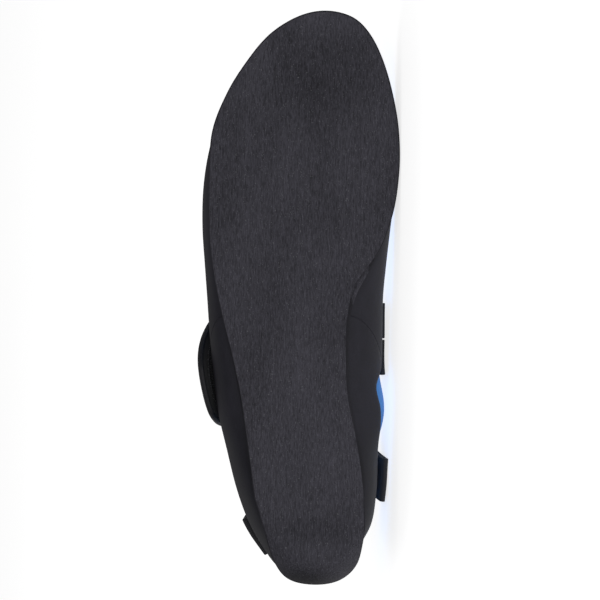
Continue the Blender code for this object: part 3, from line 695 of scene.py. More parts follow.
def make_throat_patch():
    """The suede patch over the front end of the throat, a blunt tongue shape on the vamp."""
    half_steps = 8
    outer, inner = [], []
    for share in shares(18):
        turn = turn_of(between(PATCH_BACK, PATCH_FRONT, share))
        half = PATCH_HALF_WIDTH * (1 - share ** PATCH_BLUNT) ** 0.5 + PATCH_EDGE
        wide = abs(widest_point(turn, UPPER_FACE).y - ridge_point(turn).y)
        rows = ([], [])
        for j in range(2 * half_steps + 1):
            place = j / half_steps - 1
            side = 1 if place >= 0 else -1
            level = level_at(half * abs(place) / wide, turn * side)
            for row, depth in zip(rows, (UPPER_FACE - TAPE_CLEAR - PATCH_SHEET, UPPER_FACE - TAPE_CLEAR)):
                row.append(skin(turn * side, level, depth))
        outer.append(rows[0])
        inner.append(rows[1])
    return rounded(sheet("throat_patch", outer, inner), 0.0004)


tape_knit = knit("black binding tape", (0.030, 0.031, 0.035), (0.008, 0.008, 0.010), 0.0008)
black_thread = thread_finish("black thread", (0.022, 0.022, 0.025))
blue_thread = thread_finish("blue thread", (0.045, 0.170, 0.420))
dress(make_binding(), "lining_fabric", tape_knit)
dress(make_throat_patch(), "upper_leather", blue_suede)

collar_turns = [between(-1, 1, share) * turn_of(THROAT_ALONG) * TAPE_SEAM_END for share in shares(200)]
tape_face = UPPER_FACE - TAPE - TAPE_CLEAR
tape_row = outward_row([[wall_drop(turn, TAPE_SEAM_DROP, tape_face - off) for off in (0, OUTWARD_STEP)]
                        for turn in collar_turns])
dress(stitches("binding_seam", tape_row), "lining_fabric", black_thread)

# The seams that join the quarters to the vamp, two rows of thread on each side, from the throat down
VAMP_SEAM_ALONG, VAMP_SEAM_LEVEL, VAMP_ROWS = (0.565, 0.425), (1.90, 1.16), (0.0, 0.012)
for seam_name, side in (("vamp_seam_outer", 1), ("vamp_seam_inner", -1)):
    for number, shift in enumerate(VAMP_ROWS):
        pairs = []
        for share in shares(30):
            turn = turn_of(between(*VAMP_SEAM_ALONG, share) + shift) * side
            level = between(*VAMP_SEAM_LEVEL, share)
            pairs.append([skin(turn, level, UPPER_FACE - off) for off in (0, OUTWARD_STEP)])
        dress(stitches(f"{seam_name}_{number}", outward_row(pairs)), "upper_leather", blue_thread)


# The insole
# A fibre board the shape of the foot, covered with a knitted sock. It lies between the upper's turned-under
# margins, straight on the outsole.

INSOLE_CLEAR = 2 * CLEAR
SOCK_ROLL, SOCK_EDGE = 0.0006, 0.0010


def fill_middle(mesh, ring, height, rungs_across=8):
    """Fill a ring of columns with rungs from its outer to its inner side, on the tread's own curve."""
    count = len(ring)
    rungs = []
    for i in range(count // 2 + 1):
        outer, inner = ring[i], ring[(count - i) % count]
        if outer is inner:
            rungs.append([outer])
            continue
        rung = [outer]
        for k in range(1, rungs_across):
            place = outer.co.lerp(inner.co, k / rungs_across)
            place.z = tread_high(place.x) + height
            rung.append(mesh.verts.new(place))
        rungs.append(rung + [inner])
    for a, b in zip(rungs, rungs[1:]):
        if len(a) == 1 or len(b) == 1:
            tip, row = (a[0], b) if len(a) == 1 else (b[0], a)
            for k in range(rungs_across):
                mesh.faces.new((tip, row[k], row[k + 1]))
            continue
        for k in range(rungs_across):
            mesh.faces.new((a[k], b[k], b[k + 1], a[k + 1]))


def make_insole():
    turns = even_turns(110)
    low = SOLE_SHEET + CLEAR
    high = low + RAND_SHEET + CLEAR + UPPER_WALL
    mesh = bmesh.new()
    rings = []
    for base, gap in ((low, INSOLE_CLEAR), (high - SOCK_ROLL, INSOLE_CLEAR), (high, SOCK_EDGE)):
        ring = []
        for turn in turns:
            plan = moved_in(margin_point, turn, gap)
            ring.append(mesh.verts.new((plan.x, -plan.y, tread_high(plan.x) + base)))
        rings.append(ring)
    fill_middle(mesh, rings[0], low)
    fill_middle(mesh, rings[2], high)
    joined(mesh, rings, ends=False)
    return laid("insole_sock", mesh)


def sock_knit():
    """Knitted cloth, pressed and rubbed darker here and there by the foot."""
    look = Finish("sock knit", Roughness=0.95, Sheen_Weight=0.2)
    shade = look.number(look.loops((0.0011, 0.0011, 0.0011), 0.3), 1.0, 0.0, 0.1, 0.8)
    worn = look.noise((0.03, 0.02, 0.02), 2.0)
    colour = look.mixed(shade * 0.7 + worn * 0.3, (0.020, 0.021, 0.024), (0.080, 0.083, 0.090))
    return look.wear(colour, None, shade, 0.0002)


insole = dress(make_insole(), "lining_fabric", sock_knit())
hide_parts("insole")


# The rands
# Two bands of sheet rubber, stretched round the upper's lower part and glued, one round the toe and one
# round the heel. They meet in a slanted butt seam at the arch, and their top edges are skived.

SEAM_ALONG = 0.485
SEAM_LEAN = 46.0
SEAM_GAP = 0.0003
RAND_SKIVE = 0.0005
REACH_COLUMNS = ("along", "rand_out", "rand_in", "wrap_out", "wrap_in", "curl_out", "curl_in")
REACH = (
    (0.000, 1.21, 1.21, 0.74, 0.74, 0.74, 0.74),
    (0.008, 1.21, 1.21, 0.72, 0.73, 0.72, 0.73),
    (0.025, 1.20, 1.20, 0.56, 0.64, 0.50, 0.62),
    (0.060, 1.18, 1.18, 0.30, 0.42, 0.14, 0.30),
    (0.100, 1.14, 1.10, 0.14, 0.18, 0.00, 0.00),
    (0.200, 1.06, 0.93, 0.08, 0.08, 0.00, 0.00),
    (0.300, 0.99, 0.62, 0.08, 0.08, 0.00, 0.00),
    (0.340, 0.99, 0.58, 0.08, 0.08, 0.00, 0.00),
    (0.385, 0.99, 0.94, 0.08, 0.08, 0.00, 0.00),
    (0.440, 1.00, 0.98, 0.10, 0.08, 0.00, 0.00),
    (0.560, 1.05, 0.99, 0.24, 0.22, 0.00, 0.00),
    (0.700, 1.10, 1.10, 0.34, 0.38, 0.00, 0.00),
    (0.850, 1.20, 1.20, 0.40, 0.40, 0.00, 0.00),
    (0.930, 1.34, 1.34, 0.40, 0.40, 0.00, 0.00),
    (1.000, 1.52, 1.52, 0.40, 0.40, 0.00, 0.00),
)
rand_reach = around(REACH, REACH_COLUMNS, "rand_out", "rand_in")


def cut_at_seam(piece, keep_front):
    """Cut a band along the slanted seam and close the cut."""
    lean = math.radians(SEAM_LEAN)
    normal = Vector((math.cos(lean), 0, math.sin(lean))) * (1 if keep_front else -1)
    foot = Vector((LENGTH * SEAM_ALONG, 0, SOLE_SHEET)) + normal * SEAM_GAP / 2
    turned = LYING.to_3x3() @ normal
    mesh = bmesh.new()
    mesh.from_mesh(piece.data)
    cut = bmesh.ops.bisect_plane(mesh, geom=mesh.verts[:] + mesh.edges[:] + mesh.faces[:],
                                 plane_co=LYING @ foot, plane_no=turned, clear_inner=True, dist=1e-7)
    edges = [item for item in cut["geom_cut"] if isinstance(item, bmesh.types.BMEdge)]
    bmesh.ops.edgenet_fill(mesh, edges=edges)
    bmesh.ops.recalc_face_normals(mesh, faces=mesh.faces)
    mesh.to_mesh(piece.data)
    mesh.free()
    return piece


def make_rand(name, keep_front):
    columns_round, steps = 170, 14
    grids = []
    for depth, skived in ((0, RAND_SKIVE), (RAND_SHEET, 0)):
        grid = []
        for turn in even_turns(columns_round):
            reach = rand_reach(turn)
            levels = [-1, -0.5] + [reach * k / steps for k in range(steps + 1)]
            grid.append([skin(turn, level, depth + (skived if level == reach else 0)) for level in levels])
        grids.append(grid)
    return cut_at_seam(sheet(name, grids[0], grids[1], closed=True), keep_front)


def rand_rubber():
    """Smooth moulded sheet rubber with a soft dull skin and a few scuffs; painted shade on the inner side by
    the heel and in a band along its bottom edge by the sole; paler at the outer side of the forefoot.
    """
    look = Finish("rand rubber", Roughness=0.7, Specular_IOR_Level=0.18)
    cloud = look.noise((0.018, 0.010, 0.010), 3.0)
    grain = look.noise((0.0006, 0.0006, 0.0006), 3.0)
    scuff = look.noise((0.006, 0.0015, 0.0015), 4.0)
    scuffed = look.number(scuff, 0.0, 1.0, 0.60, 0.78)
    tone = look.number(cloud * 0.7 + grain * 0.3, 0.0, 1.0, 0.35, 0.7)
    colour = look.mixed(tone, (0.0115, 0.0111, 0.0155), (0.0195, 0.0189, 0.0258))
    colour = look.mixed(look.number(scuff, 0.0, 0.18, 0.60, 0.78), colour, (0.042, 0.041, 0.051))
    # Painted shade: a darker patch on the inner side by the heel, and a dark band low on the rand where it
    # meets the sole's edge, both mixed towards near black
    painted_shade = look.patch((0.052, 0.036, 0.020), (0.042, 0.045, 0.030)) * 0.65
    painted_shade = painted_shade + look.number(look.high(), 0.45, 0.0, 0.0050, 0.0066)
    colour = look.mixed(painted_shade, colour, (0.006, 0.006, 0.008))
    # Paler towards the outer side of the forefoot
    paler_forefoot = look.patch((0.170, -0.045, 0.010), (0.070, 0.050, 0.030))
    colour = look.mixed(paler_forefoot, colour, (0.027, 0.026, 0.034))
    roughness = look.number(cloud + scuffed * 0.3, 0.60, 0.80)
    return look.wear(colour, roughness, grain * 0.6 + scuff * 0.6, 0.00008)


rand_finish = rand_rubber()
for rand_name, keep_front in (("rand_front", True), ("rand_heel", False)):
    rand = dress(rounded(make_rand(rand_name + "_band", keep_front), 0.0003), "rand_rubber", rand_finish)
    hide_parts(rand_name)


# The outsole
# One smooth sheet of climbing rubber with no tread, cut to shape, glued on and ground flush. The grinding
# leaves fine marks along it. It is turned up over the back of the heel.

EDGE_RINGS = 6
INNER_RINGS = [-1.0, -0.75, -0.5, -0.25, 0.0]
SOLE_SHOULDER = 0.85
SOLE_RIM = 0.0007
RUNGS_ACROSS = 10
wrap_reach = around(REACH, REACH_COLUMNS, "wrap_out", "wrap_in")
curl_reach = around(REACH, REACH_COLUMNS, "curl_out", "curl_in")


def sole_column(turn):
    """One column of the sole from the margin out to its edge, as points of its top and of its tread."""
    wrap, curl = wrap_reach(turn), max(curl_reach(turn), 0)
    lip = edge_point(turn) - feather_point(turn)

    def tread_point(share):
        point = skin(turn, share * curl, -CLEAR - SOLE_CURL, -CLEAR - SOLE_SHEET)
        point += Vector((lip.x, -lip.y, 0)) * share
        point.z += tread_high(point.x) - tread_high(feather_point(turn).x)
        return point

    outward = [k / EDGE_RINGS for k in range(1, EDGE_RINGS)]
    last_ring = (tread_point(1.0) - tread_point(outward[-1])).length
    outward += [between(1.0, outward[-1], min(SOLE_RIM / last_ring, 0.9)), 1.0]
    top = [skin(turn, level, -CLEAR) for level in INNER_RINGS + [share * wrap for share in outward]]
    tread = [skin(turn, level, -CLEAR, -CLEAR - SOLE_SHEET) for level in INNER_RINGS]
    tread += [tread_point(share) for share in outward]
    shoulder = tread[-1].copy()
    shoulder.z = between(tread[-1].z, top[-1].z, SOLE_SHOULDER)
    return top + [shoulder], tread


def make_outsole():
    turns = even_turns(210)
    mesh = bmesh.new()
    tops, treads = [], []
    for turn in turns:
        top, tread = sole_column(turn)
        tops.append([mesh.verts.new(point) for point in top])
        treads.append([mesh.verts.new(point) for point in tread])
    count = len(turns)
    for i in range(count):
        k = (i + 1) % count
        for rings in (tops, treads):
            for j in range(len(rings[i]) - 1):
                made = mesh.faces.new((rings[i][j], rings[k][j], rings[k][j + 1], rings[i][j + 1]))
                # The ring nearest the edge and the edge wall take the rim finish, painted dark as the shadow
                # line along the sole's edge
                made.material_index = j == len(rings[i]) - 2
        made = mesh.faces.new((tops[i][-1], treads[i][-1], treads[k][-1], tops[k][-1]))
        made.material_index = 1
    fill_middle(mesh, [ring[0] for ring in tops], SOLE_SHEET, RUNGS_ACROSS)
    fill_middle(mesh, [ring[0] for ring in treads], 0, RUNGS_ACROSS)
    return rounded(laid("ground_sole", mesh), 0.0004)


# Painted light and shade on the ground rubber, paler (above 0) or darker: a point of the standing shoe, its
# reach and strength
SOLE_PAINTED_LIGHT_AND_SHADE = (
    ((0.076, 0.002, 0), (0.050, 1, 0.034), 0.18), ((0.015, 0.004, 0), (0.014, 1, 0.022), 0.14),
    ((0.258, 0.010, 0), (0.012, 1, 0.040), 0.16), ((0.180, -0.034, 0), (0.045, 1, 0.012), -0.24),
    ((0.230, 0.008, 0), (0.030, 1, 0.034), -0.38), ((0.190, 0.005, 0), (0.035, 1, 0.030), 0.06),
    ((0.026, 0.0, 0), (0.011, 1, 0.040), -0.20), ((0.000, -0.004, 0), (0.012, 1, 0.030), -0.85),
    ((0.165, -0.050, 0), (0.060, 1, 0.009), -0.50),
)


def sole_rubber():
    """Ground rubber: fine grinding marks along the shoe, pale dust in them, cloudy tone, and painted light
    and shade in soft patches.
    """
    look = Finish("ground sole rubber", Roughness=0.8, Specular_IOR_Level=0.22)
    marks = look.noise((0.0038, 0.0007, 0.00062), 3.0, 0.6)
    fine = look.noise((0.0018, 0.0005, 0.00036), 2.0, 0.6)
    cloud = look.noise((0.055, 0.03, 0.022), 2.0, 0.5) * 0.7 + 0.15
    # Painted light and shade in soft patches, added to the cloudy tone
    for standing, reach, strength in SOLE_PAINTED_LIGHT_AND_SHADE:
        cloud = cloud + look.patch(standing, reach) * strength
    speck = look.noise((0.0007, 0.0005, 0.0004), 1.0)
    pale_speck = look.number(speck, 0.0, 1.0, 0.66, 0.78)
    dark_speck = look.number(speck, 1.0, 0.0, 0.24, 0.34)
    tone = marks * 0.85 + fine * 0.55 + cloud * 0.45 - 0.42
    shade = look.number(tone, 0.0, 1.0, 0.22, 0.78)
    colour = look.mixed(shade, (0.0065, 0.0062, 0.0090), (0.0500, 0.0480, 0.0605))
    colour = look.mixed(pale_speck * 0.7, colour, (0.120, 0.120, 0.130))
    colour = look.mixed(dark_speck * 0.7, colour, (0.009, 0.009, 0.011))
    return look.wear(colour, look.number(marks, 0.72, 0.92), marks * 0.6 + fine * 0.5, 0.00012)


def rim_rubber():
    """The sole's cut edge, painted darker than the tread as the shadow line along the sole's edge."""
    return grained("cut edge of the sole", (0.0012, 0.0006, 0.0006), 3.0, (0.009, 0.009, 0.011),
                   (0.024, 0.023, 0.029), 0.00006, Roughness=0.85, Specular_IOR_Level=0.15)


outsole = dress(make_outsole(), "sole_rubber", sole_rubber(), rim_rubber())
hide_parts("outsole")


# The tongue
# Thin foam between two cloths, knit on the foot's side and microfibre outside, stitched through in lines
# and sewn to the vamp at its front end.

TONGUE_PAD = 0.0035
TONGUE_CLEAR = 0.0011
TONGUE_HALF_WIDTH = 0.024
TONGUE_BACK, TONGUE_FRONT = 0.235, 0.60
TONGUE_TAPER = 0.8
TONGUE_CORNER, TONGUE_CORNER_SHARE = 0.35, 0.12
QUILT_LINES = 7
QUILT_SWELL = 0.0009
RIM_SIDES, RIM_BACK = 5, 14


def make_tongue():
    face = UPPER_FACE + UPPER_WALL + TONGUE_CLEAR
    columns_across = 24
    front, back = [], []
    for share in shares(60):
        turn = turn_of(between(TONGUE_BACK, TONGUE_FRONT, share))
        corner = 1 - TONGUE_CORNER * max(1 - share / TONGUE_CORNER_SHARE, 0) ** 2
        quilt = abs(math.sin(math.pi * share * QUILT_LINES)) ** 0.5
        rows = ([], [])
        for j in range(columns_across + 1):
            place = 2 * j / columns_across - 1
            side = 1 if place >= 0 else -1
            half = abs(widest_point(turn * side, face).y - ridge_point(turn).y)
            reach = TONGUE_HALF_WIDTH * corner * abs(place) * between(1, TONGUE_TAPER, share) / half
            level = level_at(reach, turn)
            rim = min((1 - abs(place)) * RIM_SIDES, 1, share * RIM_BACK)
            swell = QUILT_SWELL * quilt * rim ** 0.5
            rows[0].append(skin(turn * side, level, face + QUILT_SWELL - swell))
            rows[1].append(skin(turn * side, level, face + TONGUE_PAD - QUILT_SWELL + swell))
        front.append(rows[0])
        back.append(rows[1])
    return rounded(sheet("tongue_pad", front, back, inner_finish=1), 0.0007, 3)


def microfibre(name, pale, dark, sheen=0.25):
    """Fine matt cloth with a short nap."""
    look = Finish(name, Roughness=0.88, Sheen_Weight=sheen, Specular_IOR_Level=0.3)
    nap = look.noise((0.0006, 0.0005, 0.0005), 4.0)
    cloud = look.noise((0.02, 0.02, 0.02), 2.0)
    shade = look.number(nap * 0.6 + cloud * 0.4, 0.0, 1.0, 0.35, 0.7)
    return look.wear(look.mixed(shade, dark, pale), None, nap, 0.0001)


grey_cloth = microfibre("grey tongue cloth", (0.070, 0.074, 0.084), (0.035, 0.037, 0.043))
tongue = dress(make_tongue(), "lining_fabric", grey_cloth, grey_knit)
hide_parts("tongue")


# The closure strap
# Two legs of flat webbing, sewn in on the inner side at the rand's edge, run into one wide flap of
# hook-and-loop tape whose edge is bound with smooth piping. The flap's end stands off the wall.

STRAP_SHEET = 0.002
STRAP_LEGS_WIDTH = 0.033
STRAP_FLAP_WIDTH = 0.058
STRAP_SLIT = 0.0006
FLAP_LIFT = 0.0086
STRAP_CLEAR = 0.0008
STRAP_COLUMNS = ("run", "middle", "width", "level")
STRAP = (
    (0.00, 0.431, 0.00, 1.03),
    (0.18, 0.431, 0.00, 1.30),
    (0.45, 0.431, 0.10, 1.72),
    (0.62, 0.425, 0.35, 2.05),
    (0.80, 0.400, 0.80, 2.55),
    (1.00, 0.357, 1.00, 3.04),
)
SLIT_END = 0.5
FLAP_START = 0.72
TIP_ROUND = 0.19
FLAP_POWER = 1.5
FLAP_BACK_LIFT = 0.2
TIP_POWER = 2.4
TIP_MIDDLE = 0.43
PIPING_RADIUS = 0.0009 + STRAP_SHEET * 0.22
PIPING_START = 0.60
PANEL_START, PANEL_END = 0.70, 0.045
PANEL_MARGIN = 0.09
PANEL_FACES = (-0.0001, -0.0008)
HOOKS_START, HOOKS_END, HOOKS_MARGIN = 0.80, 0.05, 0.12
HOOK_FOOT = -0.0006

# One hook: how high and how far ahead of its foot each ring stands, and its half thickness
HOOK = (
    (0.0000, 0.0000, 0.00022),
    (0.0008, 0.0000, 0.00016),
    (0.0012, 0.0002, 0.00013),
    (0.0012, 0.0005, 0.00011),
    (0.0009, 0.0007, 0.00008),
)


def turn_at(x, level, side):
    """The column of the skin that passes x at a level above the widest line."""
    turn = turn_of(held(x / LENGTH, 0.02, 0.98))
    for _ in range(4):
        inwards = max(math.cos((level - 1) * math.pi / 2), 0) ** bow(turn * side)
        heel = between(RIDGE_FROM_HEEL, SOLE_CURL + CLEAR, inwards)
        toe = between(LENGTH - RIDGE_FROM_TOE, LENGTH - RAND_SET_BACK, inwards)
        turn = turn_of(held((x - heel) / (toe - heel), 0, 1))
    return turn * side


strap_middle, strap_width, strap_level = [reader(STRAP, STRAP_COLUMNS, name) for name in STRAP_COLUMNS[1:]]


def strap_point(run, place, lift):
    """A point of the strap: run goes over the foot, place from its back edge (0) to its front edge (1)."""
    width = between(STRAP_LEGS_WIDTH, STRAP_FLAP_WIDTH, strap_width(run))
    level = strap_level(run)
    side = -1 if level < 2 else 1
    level = level if level < 2 else 4 - level
    turn = turn_at(LENGTH * strap_middle(run) + width * (place - 0.5), level, side)
    lifted = max((run - FLAP_START) / (1 - FLAP_START), 0) ** FLAP_POWER
    raised = FLAP_LIFT * lifted * between(FLAP_BACK_LIFT, 1, place)
    return skin(turn, level, UPPER_FACE - STRAP_CLEAR - lift - raised, 0)


def tip_run(place):
    """Where the flap's rounded end lies at a place from its back edge to its front edge."""
    return 1 - TIP_ROUND * abs(2 * (place - TIP_MIDDLE)) ** TIP_POWER


def make_strap():
    run_steps, leg_steps = 110, 9
    split = 0.5 - STRAP_SLIT / STRAP_LEGS_WIDTH / 2
    places = [split * k / leg_steps for k in range(leg_steps + 1)]
    places += [1 - place for place in reversed(places)]
    runs = shares(run_steps)
    grids = [[[strap_point(run * tip_run(place), place, lift) for place in places] for run in runs]
             for lift in (STRAP_SHEET, 0)]
    middle = [strap_point(run, 0.5, STRAP_SHEET) for run in runs]
    length = sum((b - a).length for a, b in zip(middle, middle[1:]))
    flat = [[(run * tip_run(place) * length, place * STRAP_FLAP_WIDTH) for place in places] for run in runs]
    slit_rows = round(SLIT_END * run_steps)
    kept = [[not (j == leg_steps and i < slit_rows) for j in range(len(places) - 1)]
            for i in range(run_steps)]
    return rounded(sheet("strap_body", grids[0], grids[1], kept=kept, flat=flat, inner_finish=1), 0.0005, 3)


def make_hook_panel():
    """The panel of hooks under the flap, a little smaller than the flap."""
    places = [PANEL_MARGIN + (1 - 2 * PANEL_MARGIN) * j / 20 for j in range(21)]
    grids = [[[strap_point(between(PANEL_START, tip_run(place) - PANEL_END, share), place, lift)
               for place in places] for share in shares(30)] for lift in PANEL_FACES]
    return sheet("hook_panel", grids[0], grids[1])


def make_hooks():
    """Rows of small moulded hooks on the panel: each a stem whose tip bends over."""
    mesh = bmesh.new()
    rows, columns_across = 26, 34
    for i in range(rows):
        for j in range(columns_across):
            place = between(HOOKS_MARGIN, 1 - HOOKS_MARGIN, (j + 0.5 * (i % 2)) / columns_across)
            run = between(HOOKS_START, tip_run(place) - HOOKS_END, i / rows)
            foot = strap_point(run, place, HOOK_FOOT)
            up = (strap_point(run, place, HOOK_FOOT - OUTWARD_STEP) - foot).normalized()
            ahead = (strap_point(run + 0.01, place, HOOK_FOOT) - foot).normalized()
            side = up.cross(ahead).normalized()
            rings = []
            for high, forward, half in HOOK:
                middle = foot + up * high + ahead * forward
                rings.append([mesh.verts.new(middle + side * a * half + ahead * b * half)
                              for a, b in ((-1, -1), (1, -1), (1, 1), (-1, 1))])
            joined(mesh, rings)
    return laid("hooks", mesh)


def tube(name, spots, radius, sides=8):
    """A round cord of one thickness along a path."""
    mesh = bmesh.new()
    rings = []
    beside = None
    for k, spot in enumerate(spots):
        ahead = course(spots, k).normalized()
        beside = ahead.orthogonal() if beside is None else beside - ahead * beside.dot(ahead)
        beside.normalize()
        rings.append(ring_about(mesh, spot, beside, ahead.cross(beside), radius, sides))
    joined(mesh, rings)
    return laid(name, mesh)


def make_piping():
    middle = STRAP_SHEET / 2

    def along_side(place):
        return [strap_point(between(PIPING_START, tip_run(place), share), place, middle)
                for share in shares(40)[:-1]]

    spots = along_side(0) + [strap_point(tip_run(place), place, middle) for place in shares(60)]
    return tube("flap_piping", spots + along_side(1)[::-1], PIPING_RADIUS)


def webbing(name, pale, dark, rib=0.0008):
    """Woven tape: a herringbone of fine ribs, from its flat cut."""
    look = Finish(name, Roughness=0.85, Sheen_Weight=0.06, Specular_IOR_Level=0.25)
    ribs = look.node(
        "ShaderNodeTexWave", {"wave_type": "BANDS", "bands_direction": "DIAGONAL"},
        {"Vector": look.place((rib * 6, rib * 6, 1), flat=True), "Scale": 3.2, "Distortion": 0.3}, output=1)
    yarns = look.noise((0.0005, 0.0009, 1), flat=True)
    shade = look.number(ribs * 0.6 + yarns * 0.5, 0.0, 1.0, 0.2, 0.9)
    return look.wear(look.mixed(shade, dark, pale), None, ribs * 0.7 + yarns * 0.4, 0.00018)


def hook_tape():
    """Moulded hooks in close rows, black, with a glint painted pale in the middle of each."""
    look = Finish("hook tape", Roughness=0.35, Specular_IOR_Level=0.5)
    shade = look.number(look.loops((0.0008, 0.0008, 0.0008), 0.45), 1.0, 0.0, 0.05, 0.45)
    return look.wear(look.mixed(shade, (0.004, 0.004, 0.005), (0.075, 0.075, 0.085)),
                     look.number(shade, 0.8, 0.3), shade, 0.0004)


def piping_finish():
    """Smooth coated piping with a dull shine."""
    return grained("black piping", (0.0008, 0.0008, 0.0008), 3.0, (0.008, 0.008, 0.010),
                   (0.017, 0.017, 0.020), 0.00005, (0.42, 0.6), Roughness=0.5, Specular_IOR_Level=0.25)


black_webbing = webbing("black strap webbing", (0.030, 0.030, 0.034), (0.009, 0.009, 0.011))
loop_pile = microfibre("black loop pile", (0.012, 0.012, 0.014), (0.004, 0.004, 0.005), 0.04)
strap = dress(make_strap(), "strap_fabric", black_webbing, loop_pile)
hook_plastic = hook_tape()
dress(make_hook_panel(), "strap_fabric", hook_plastic)
dress(make_hooks(), "strap_fabric", hook_plastic)
dress(make_piping(), "strap_fabric", piping_finish())
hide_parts("closure_strap")

# Seams along the strap's edges, and across its legs where they are sewn in: their places and runs at
# both ends
STRAP_SEAMS = (
    ("strap_seam_back", (0.055, 0.055), (0.03, 0.93)),
    ("strap_seam_front", (0.945, 0.945), (0.03, 0.93)),
    ("leg_seam_back", (0.435, 0.435), (0.03, 0.48)),
    ("leg_seam_front", (0.565, 0.565), (0.03, 0.48)),
    ("leg_tack_back", (0.06, 0.43), (0.05, 0.05)),
    ("leg_tack_front", (0.57, 0.94), (0.05, 0.05)),
)
for seam_name, place_ends, run_ends in STRAP_SEAMS:
    pairs = []
    for share in shares(60):
        place = between(*place_ends, share)
        run = between(*run_ends, share) * tip_run(place)
        pairs.append([strap_point(run, place, STRAP_SHEET + off) for off in (0, OUTWARD_STEP)])
    dress(stitches(seam_name, outward_row(pairs)), "strap_fabric", black_thread)


# The pull loops
# Two short lengths of flat webbing, folded double over the collar's edge, one each side of the heel, and
# tacked down with close rows of stitches. The one on the inner side rests on the floor.

WEBBING_SHEET = 0.001
WEBBING_WIDTH = 0.019
LOOP_LENGTH = 0.031
LOOP_GAP = 0.0006
LOOP_TAIL = 0.009
LOOP_CLEAR = 0.0005
TAIL_SHARES = (1, 0.5, 0.12)
FOLD_SPOT = len(TAIL_SHARES) + len(BENDS)
RAND_START = 3
HANGING_STEPS = 14
TACK_STITCH, TACK_GAP = 0.0012, 0.0004
TACK_SPOTS = (-2, -5)

# Each loop's name, place along the shoe, side (1 is the outer one), and how far it swings off the wall
LOOPS = (
    ("pull_loop_inner", 0.175, -1, 0.055),
    ("pull_loop_outer", 0.072, 1, 0.0),
)


def loop_column(turn, side, swing):
    """The webbing's middle line at one column of the collar, with the wall's direction along the shoe."""
    arm = UPPER_WALL / 2 + LOOP_CLEAR + WEBBING_SHEET / 2
    fold = (LOOP_GAP + WEBBING_SHEET) / 2
    edge, up, outwards, along = edge_frame(turn, side)
    level = top_level(turn)
    per_metre = LEVEL_STEP / (edge - skin(turn, level - LEVEL_STEP, UPPER_MIDDLE)).length

    def hanging(share, proud):
        down = share * LOOP_LENGTH
        over_rand = min(share * RAND_START, 1) * UPPER_FACE
        off = LOOP_CLEAR + WEBBING_SHEET / 2 + over_rand + proud + swing * down * share
        return skin(turn, level - down * per_metre, UPPER_FACE - off)

    spots = [skin(turn, level - LOOP_TAIL * share * per_metre, UPPER_MIDDLE + arm) for share in TAIL_SHARES]
    spots += [edge - outwards * arm * math.cos(a) + up * arm * math.sin(a) for a in BENDS]
    spots += [hanging(k / HANGING_STEPS, 0) for k in range(1, HANGING_STEPS + 1)]
    low, beyond = hanging(1, 0), hanging(1, 2 * fold)
    across = (beyond - low).normalized()
    down = (low - hanging(1 - LEVEL_STEP, 0)).normalized()
    spots += [low.lerp(beyond, 0.5) - across * fold * math.cos(a) + down * fold * math.sin(a) for a in BENDS]
    return spots + [hanging(k / HANGING_STEPS, 2 * fold) for k in range(HANGING_STEPS, 1, -1)], along


def make_pull_loop(name, along, side, swing, columns_across=10):
    """One loop of webbing, and two rows of tacks across its doubled part."""
    middle = turn_of(along) * side
    near = [skin(middle + s * TURN_STEP, top_level(middle), 0) for s in (-1, 1)]
    per_turn = (near[1] - near[0]).length / (2 * TURN_STEP)
    faces, outside = ([], []), []
    for place in range(columns_across + 1):
        off = WEBBING_WIDTH * (place / columns_across - 0.5) / per_turn
        spots, wall_along = loop_column(middle + off, side, swing)
        ways = [course(spots, k).cross(wall_along).normalized() for k in range(len(spots))]
        for grid, face in zip(faces, (0.5, -0.5)):
            grid.append([spot + way * WEBBING_SHEET * face for spot, way in zip(spots, ways)])
        outside.append(list(zip(spots, ways)))
    loop = rounded(sheet(name + "_webbing", faces[0], faces[1]), 0.0003)
    for number, spot_index in enumerate(TACK_SPOTS):
        row = []
        for across in outside[1:-1]:
            spot, way = across[spot_index]
            way = way if (spot - across[FOLD_SPOT][0]).dot(way) > 0 else -way
            row.append((spot + way * WEBBING_SHEET / 2, way))
        tack = stitches(f"{name}_tack_{number}", row, TACK_STITCH, TACK_GAP)
        dress(tack, "strap_fabric", black_thread)
    return loop


for loop_name, along, side, swing in LOOPS:
    loop = dress(make_pull_loop(loop_name, along, side, swing), "strap_fabric", black_webbing)
    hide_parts(loop_name)


# The studio
# A white table that runs back out of sight, large soft lights, and a long lens that looks straight at the
# sole, rolled so that the toe is up.

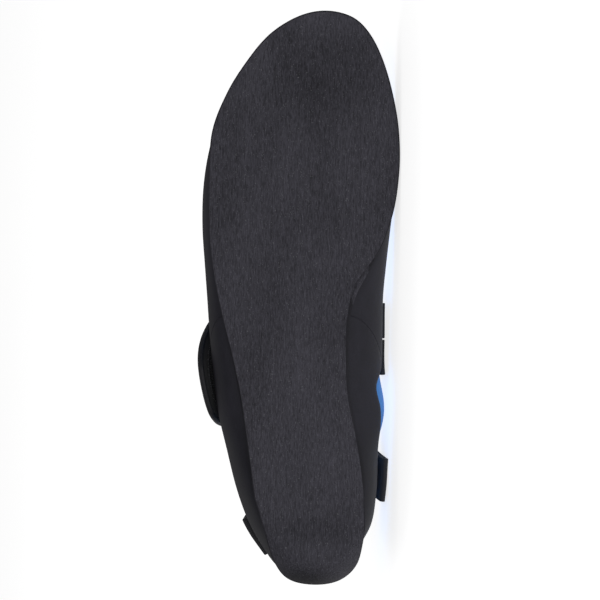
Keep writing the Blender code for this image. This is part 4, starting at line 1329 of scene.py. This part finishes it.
VIEW_DISTANCE = 2.6
VIEW_WIDTH = 0.2715
VIEW_CENTRE = Vector((0.1308, -0.00226, 0.0))
SENSOR = 36.0
TABLE_HALF = 30
SKY_STRENGTH = 0.24

floor_mesh = bmesh.new()
bmesh.ops.create_grid(floor_mesh, x_segments=4, y_segments=4, size=TABLE_HALF)
floor_data = bpy.data.meshes.new("table")
floor_mesh.to_mesh(floor_data)
floor_mesh.free()
floor = placed("table", floor_data)
white_table = Finish("white table", Roughness=0.6, Emission_Color=(1, 1, 1, 1), Emission_Strength=0.72)
paper = white_table.noise((0.3, 0.3, 0.3), 2.0)
floor.data.materials.append(white_table.wear(
    white_table.mixed(paper, (0.90, 0.90, 0.90), (0.93, 0.93, 0.93))))

sole_way = LYING.to_3x3() @ Vector((0, 0, -1))
toe_way = LYING.to_3x3() @ Vector((1, 0, 0))
aim = LYING @ VIEW_CENTRE
camera_data = bpy.data.cameras.new("long lens")
camera_data.sensor_width = SENSOR
camera_data.lens = SENSOR * VIEW_DISTANCE / VIEW_WIDTH
camera_data.clip_end = 100
camera = placed("long lens", camera_data)
right_way = (-sole_way).cross(toe_way).normalized()
camera.matrix_world = Matrix.Translation(aim + sole_way * VIEW_DISTANCE) @ Matrix(
    (right_way, sole_way.cross(right_way), sole_way)).transposed().to_4x4()
bpy.context.scene.camera = camera


def soft_light(name, place, size, power):
    """A large softbox that shines at the shoe."""
    data = bpy.data.lights.new(name, "AREA")
    data.shape = "DISK"
    data.size = size
    data.energy = power
    lamp = placed(name, data)
    lamp.location = place
    lamp.rotation_mode = "QUATERNION"
    lamp.rotation_quaternion = (aim - Vector(place)).to_track_quat("-Z", "Y")
    lamp.visible_camera = False
    return lamp


# Name, place, size in metres and power in watts
soft_light("front softbox", (0.2, -2.4, 0.55), 1.4, 24)
soft_light("back softbox", (-0.9, 1.5, 1.5), 1.2, 6)

sky = bpy.data.worlds.new("white studio")
sky.use_nodes = True
sky.node_tree.nodes["Background"].inputs["Color"].default_value = (1, 1, 1, 1)
sky.node_tree.nodes["Background"].inputs["Strength"].default_value = SKY_STRENGTH
bpy.context.scene.world = sky
bpy.context.scene.view_settings.view_transform = "Standard"
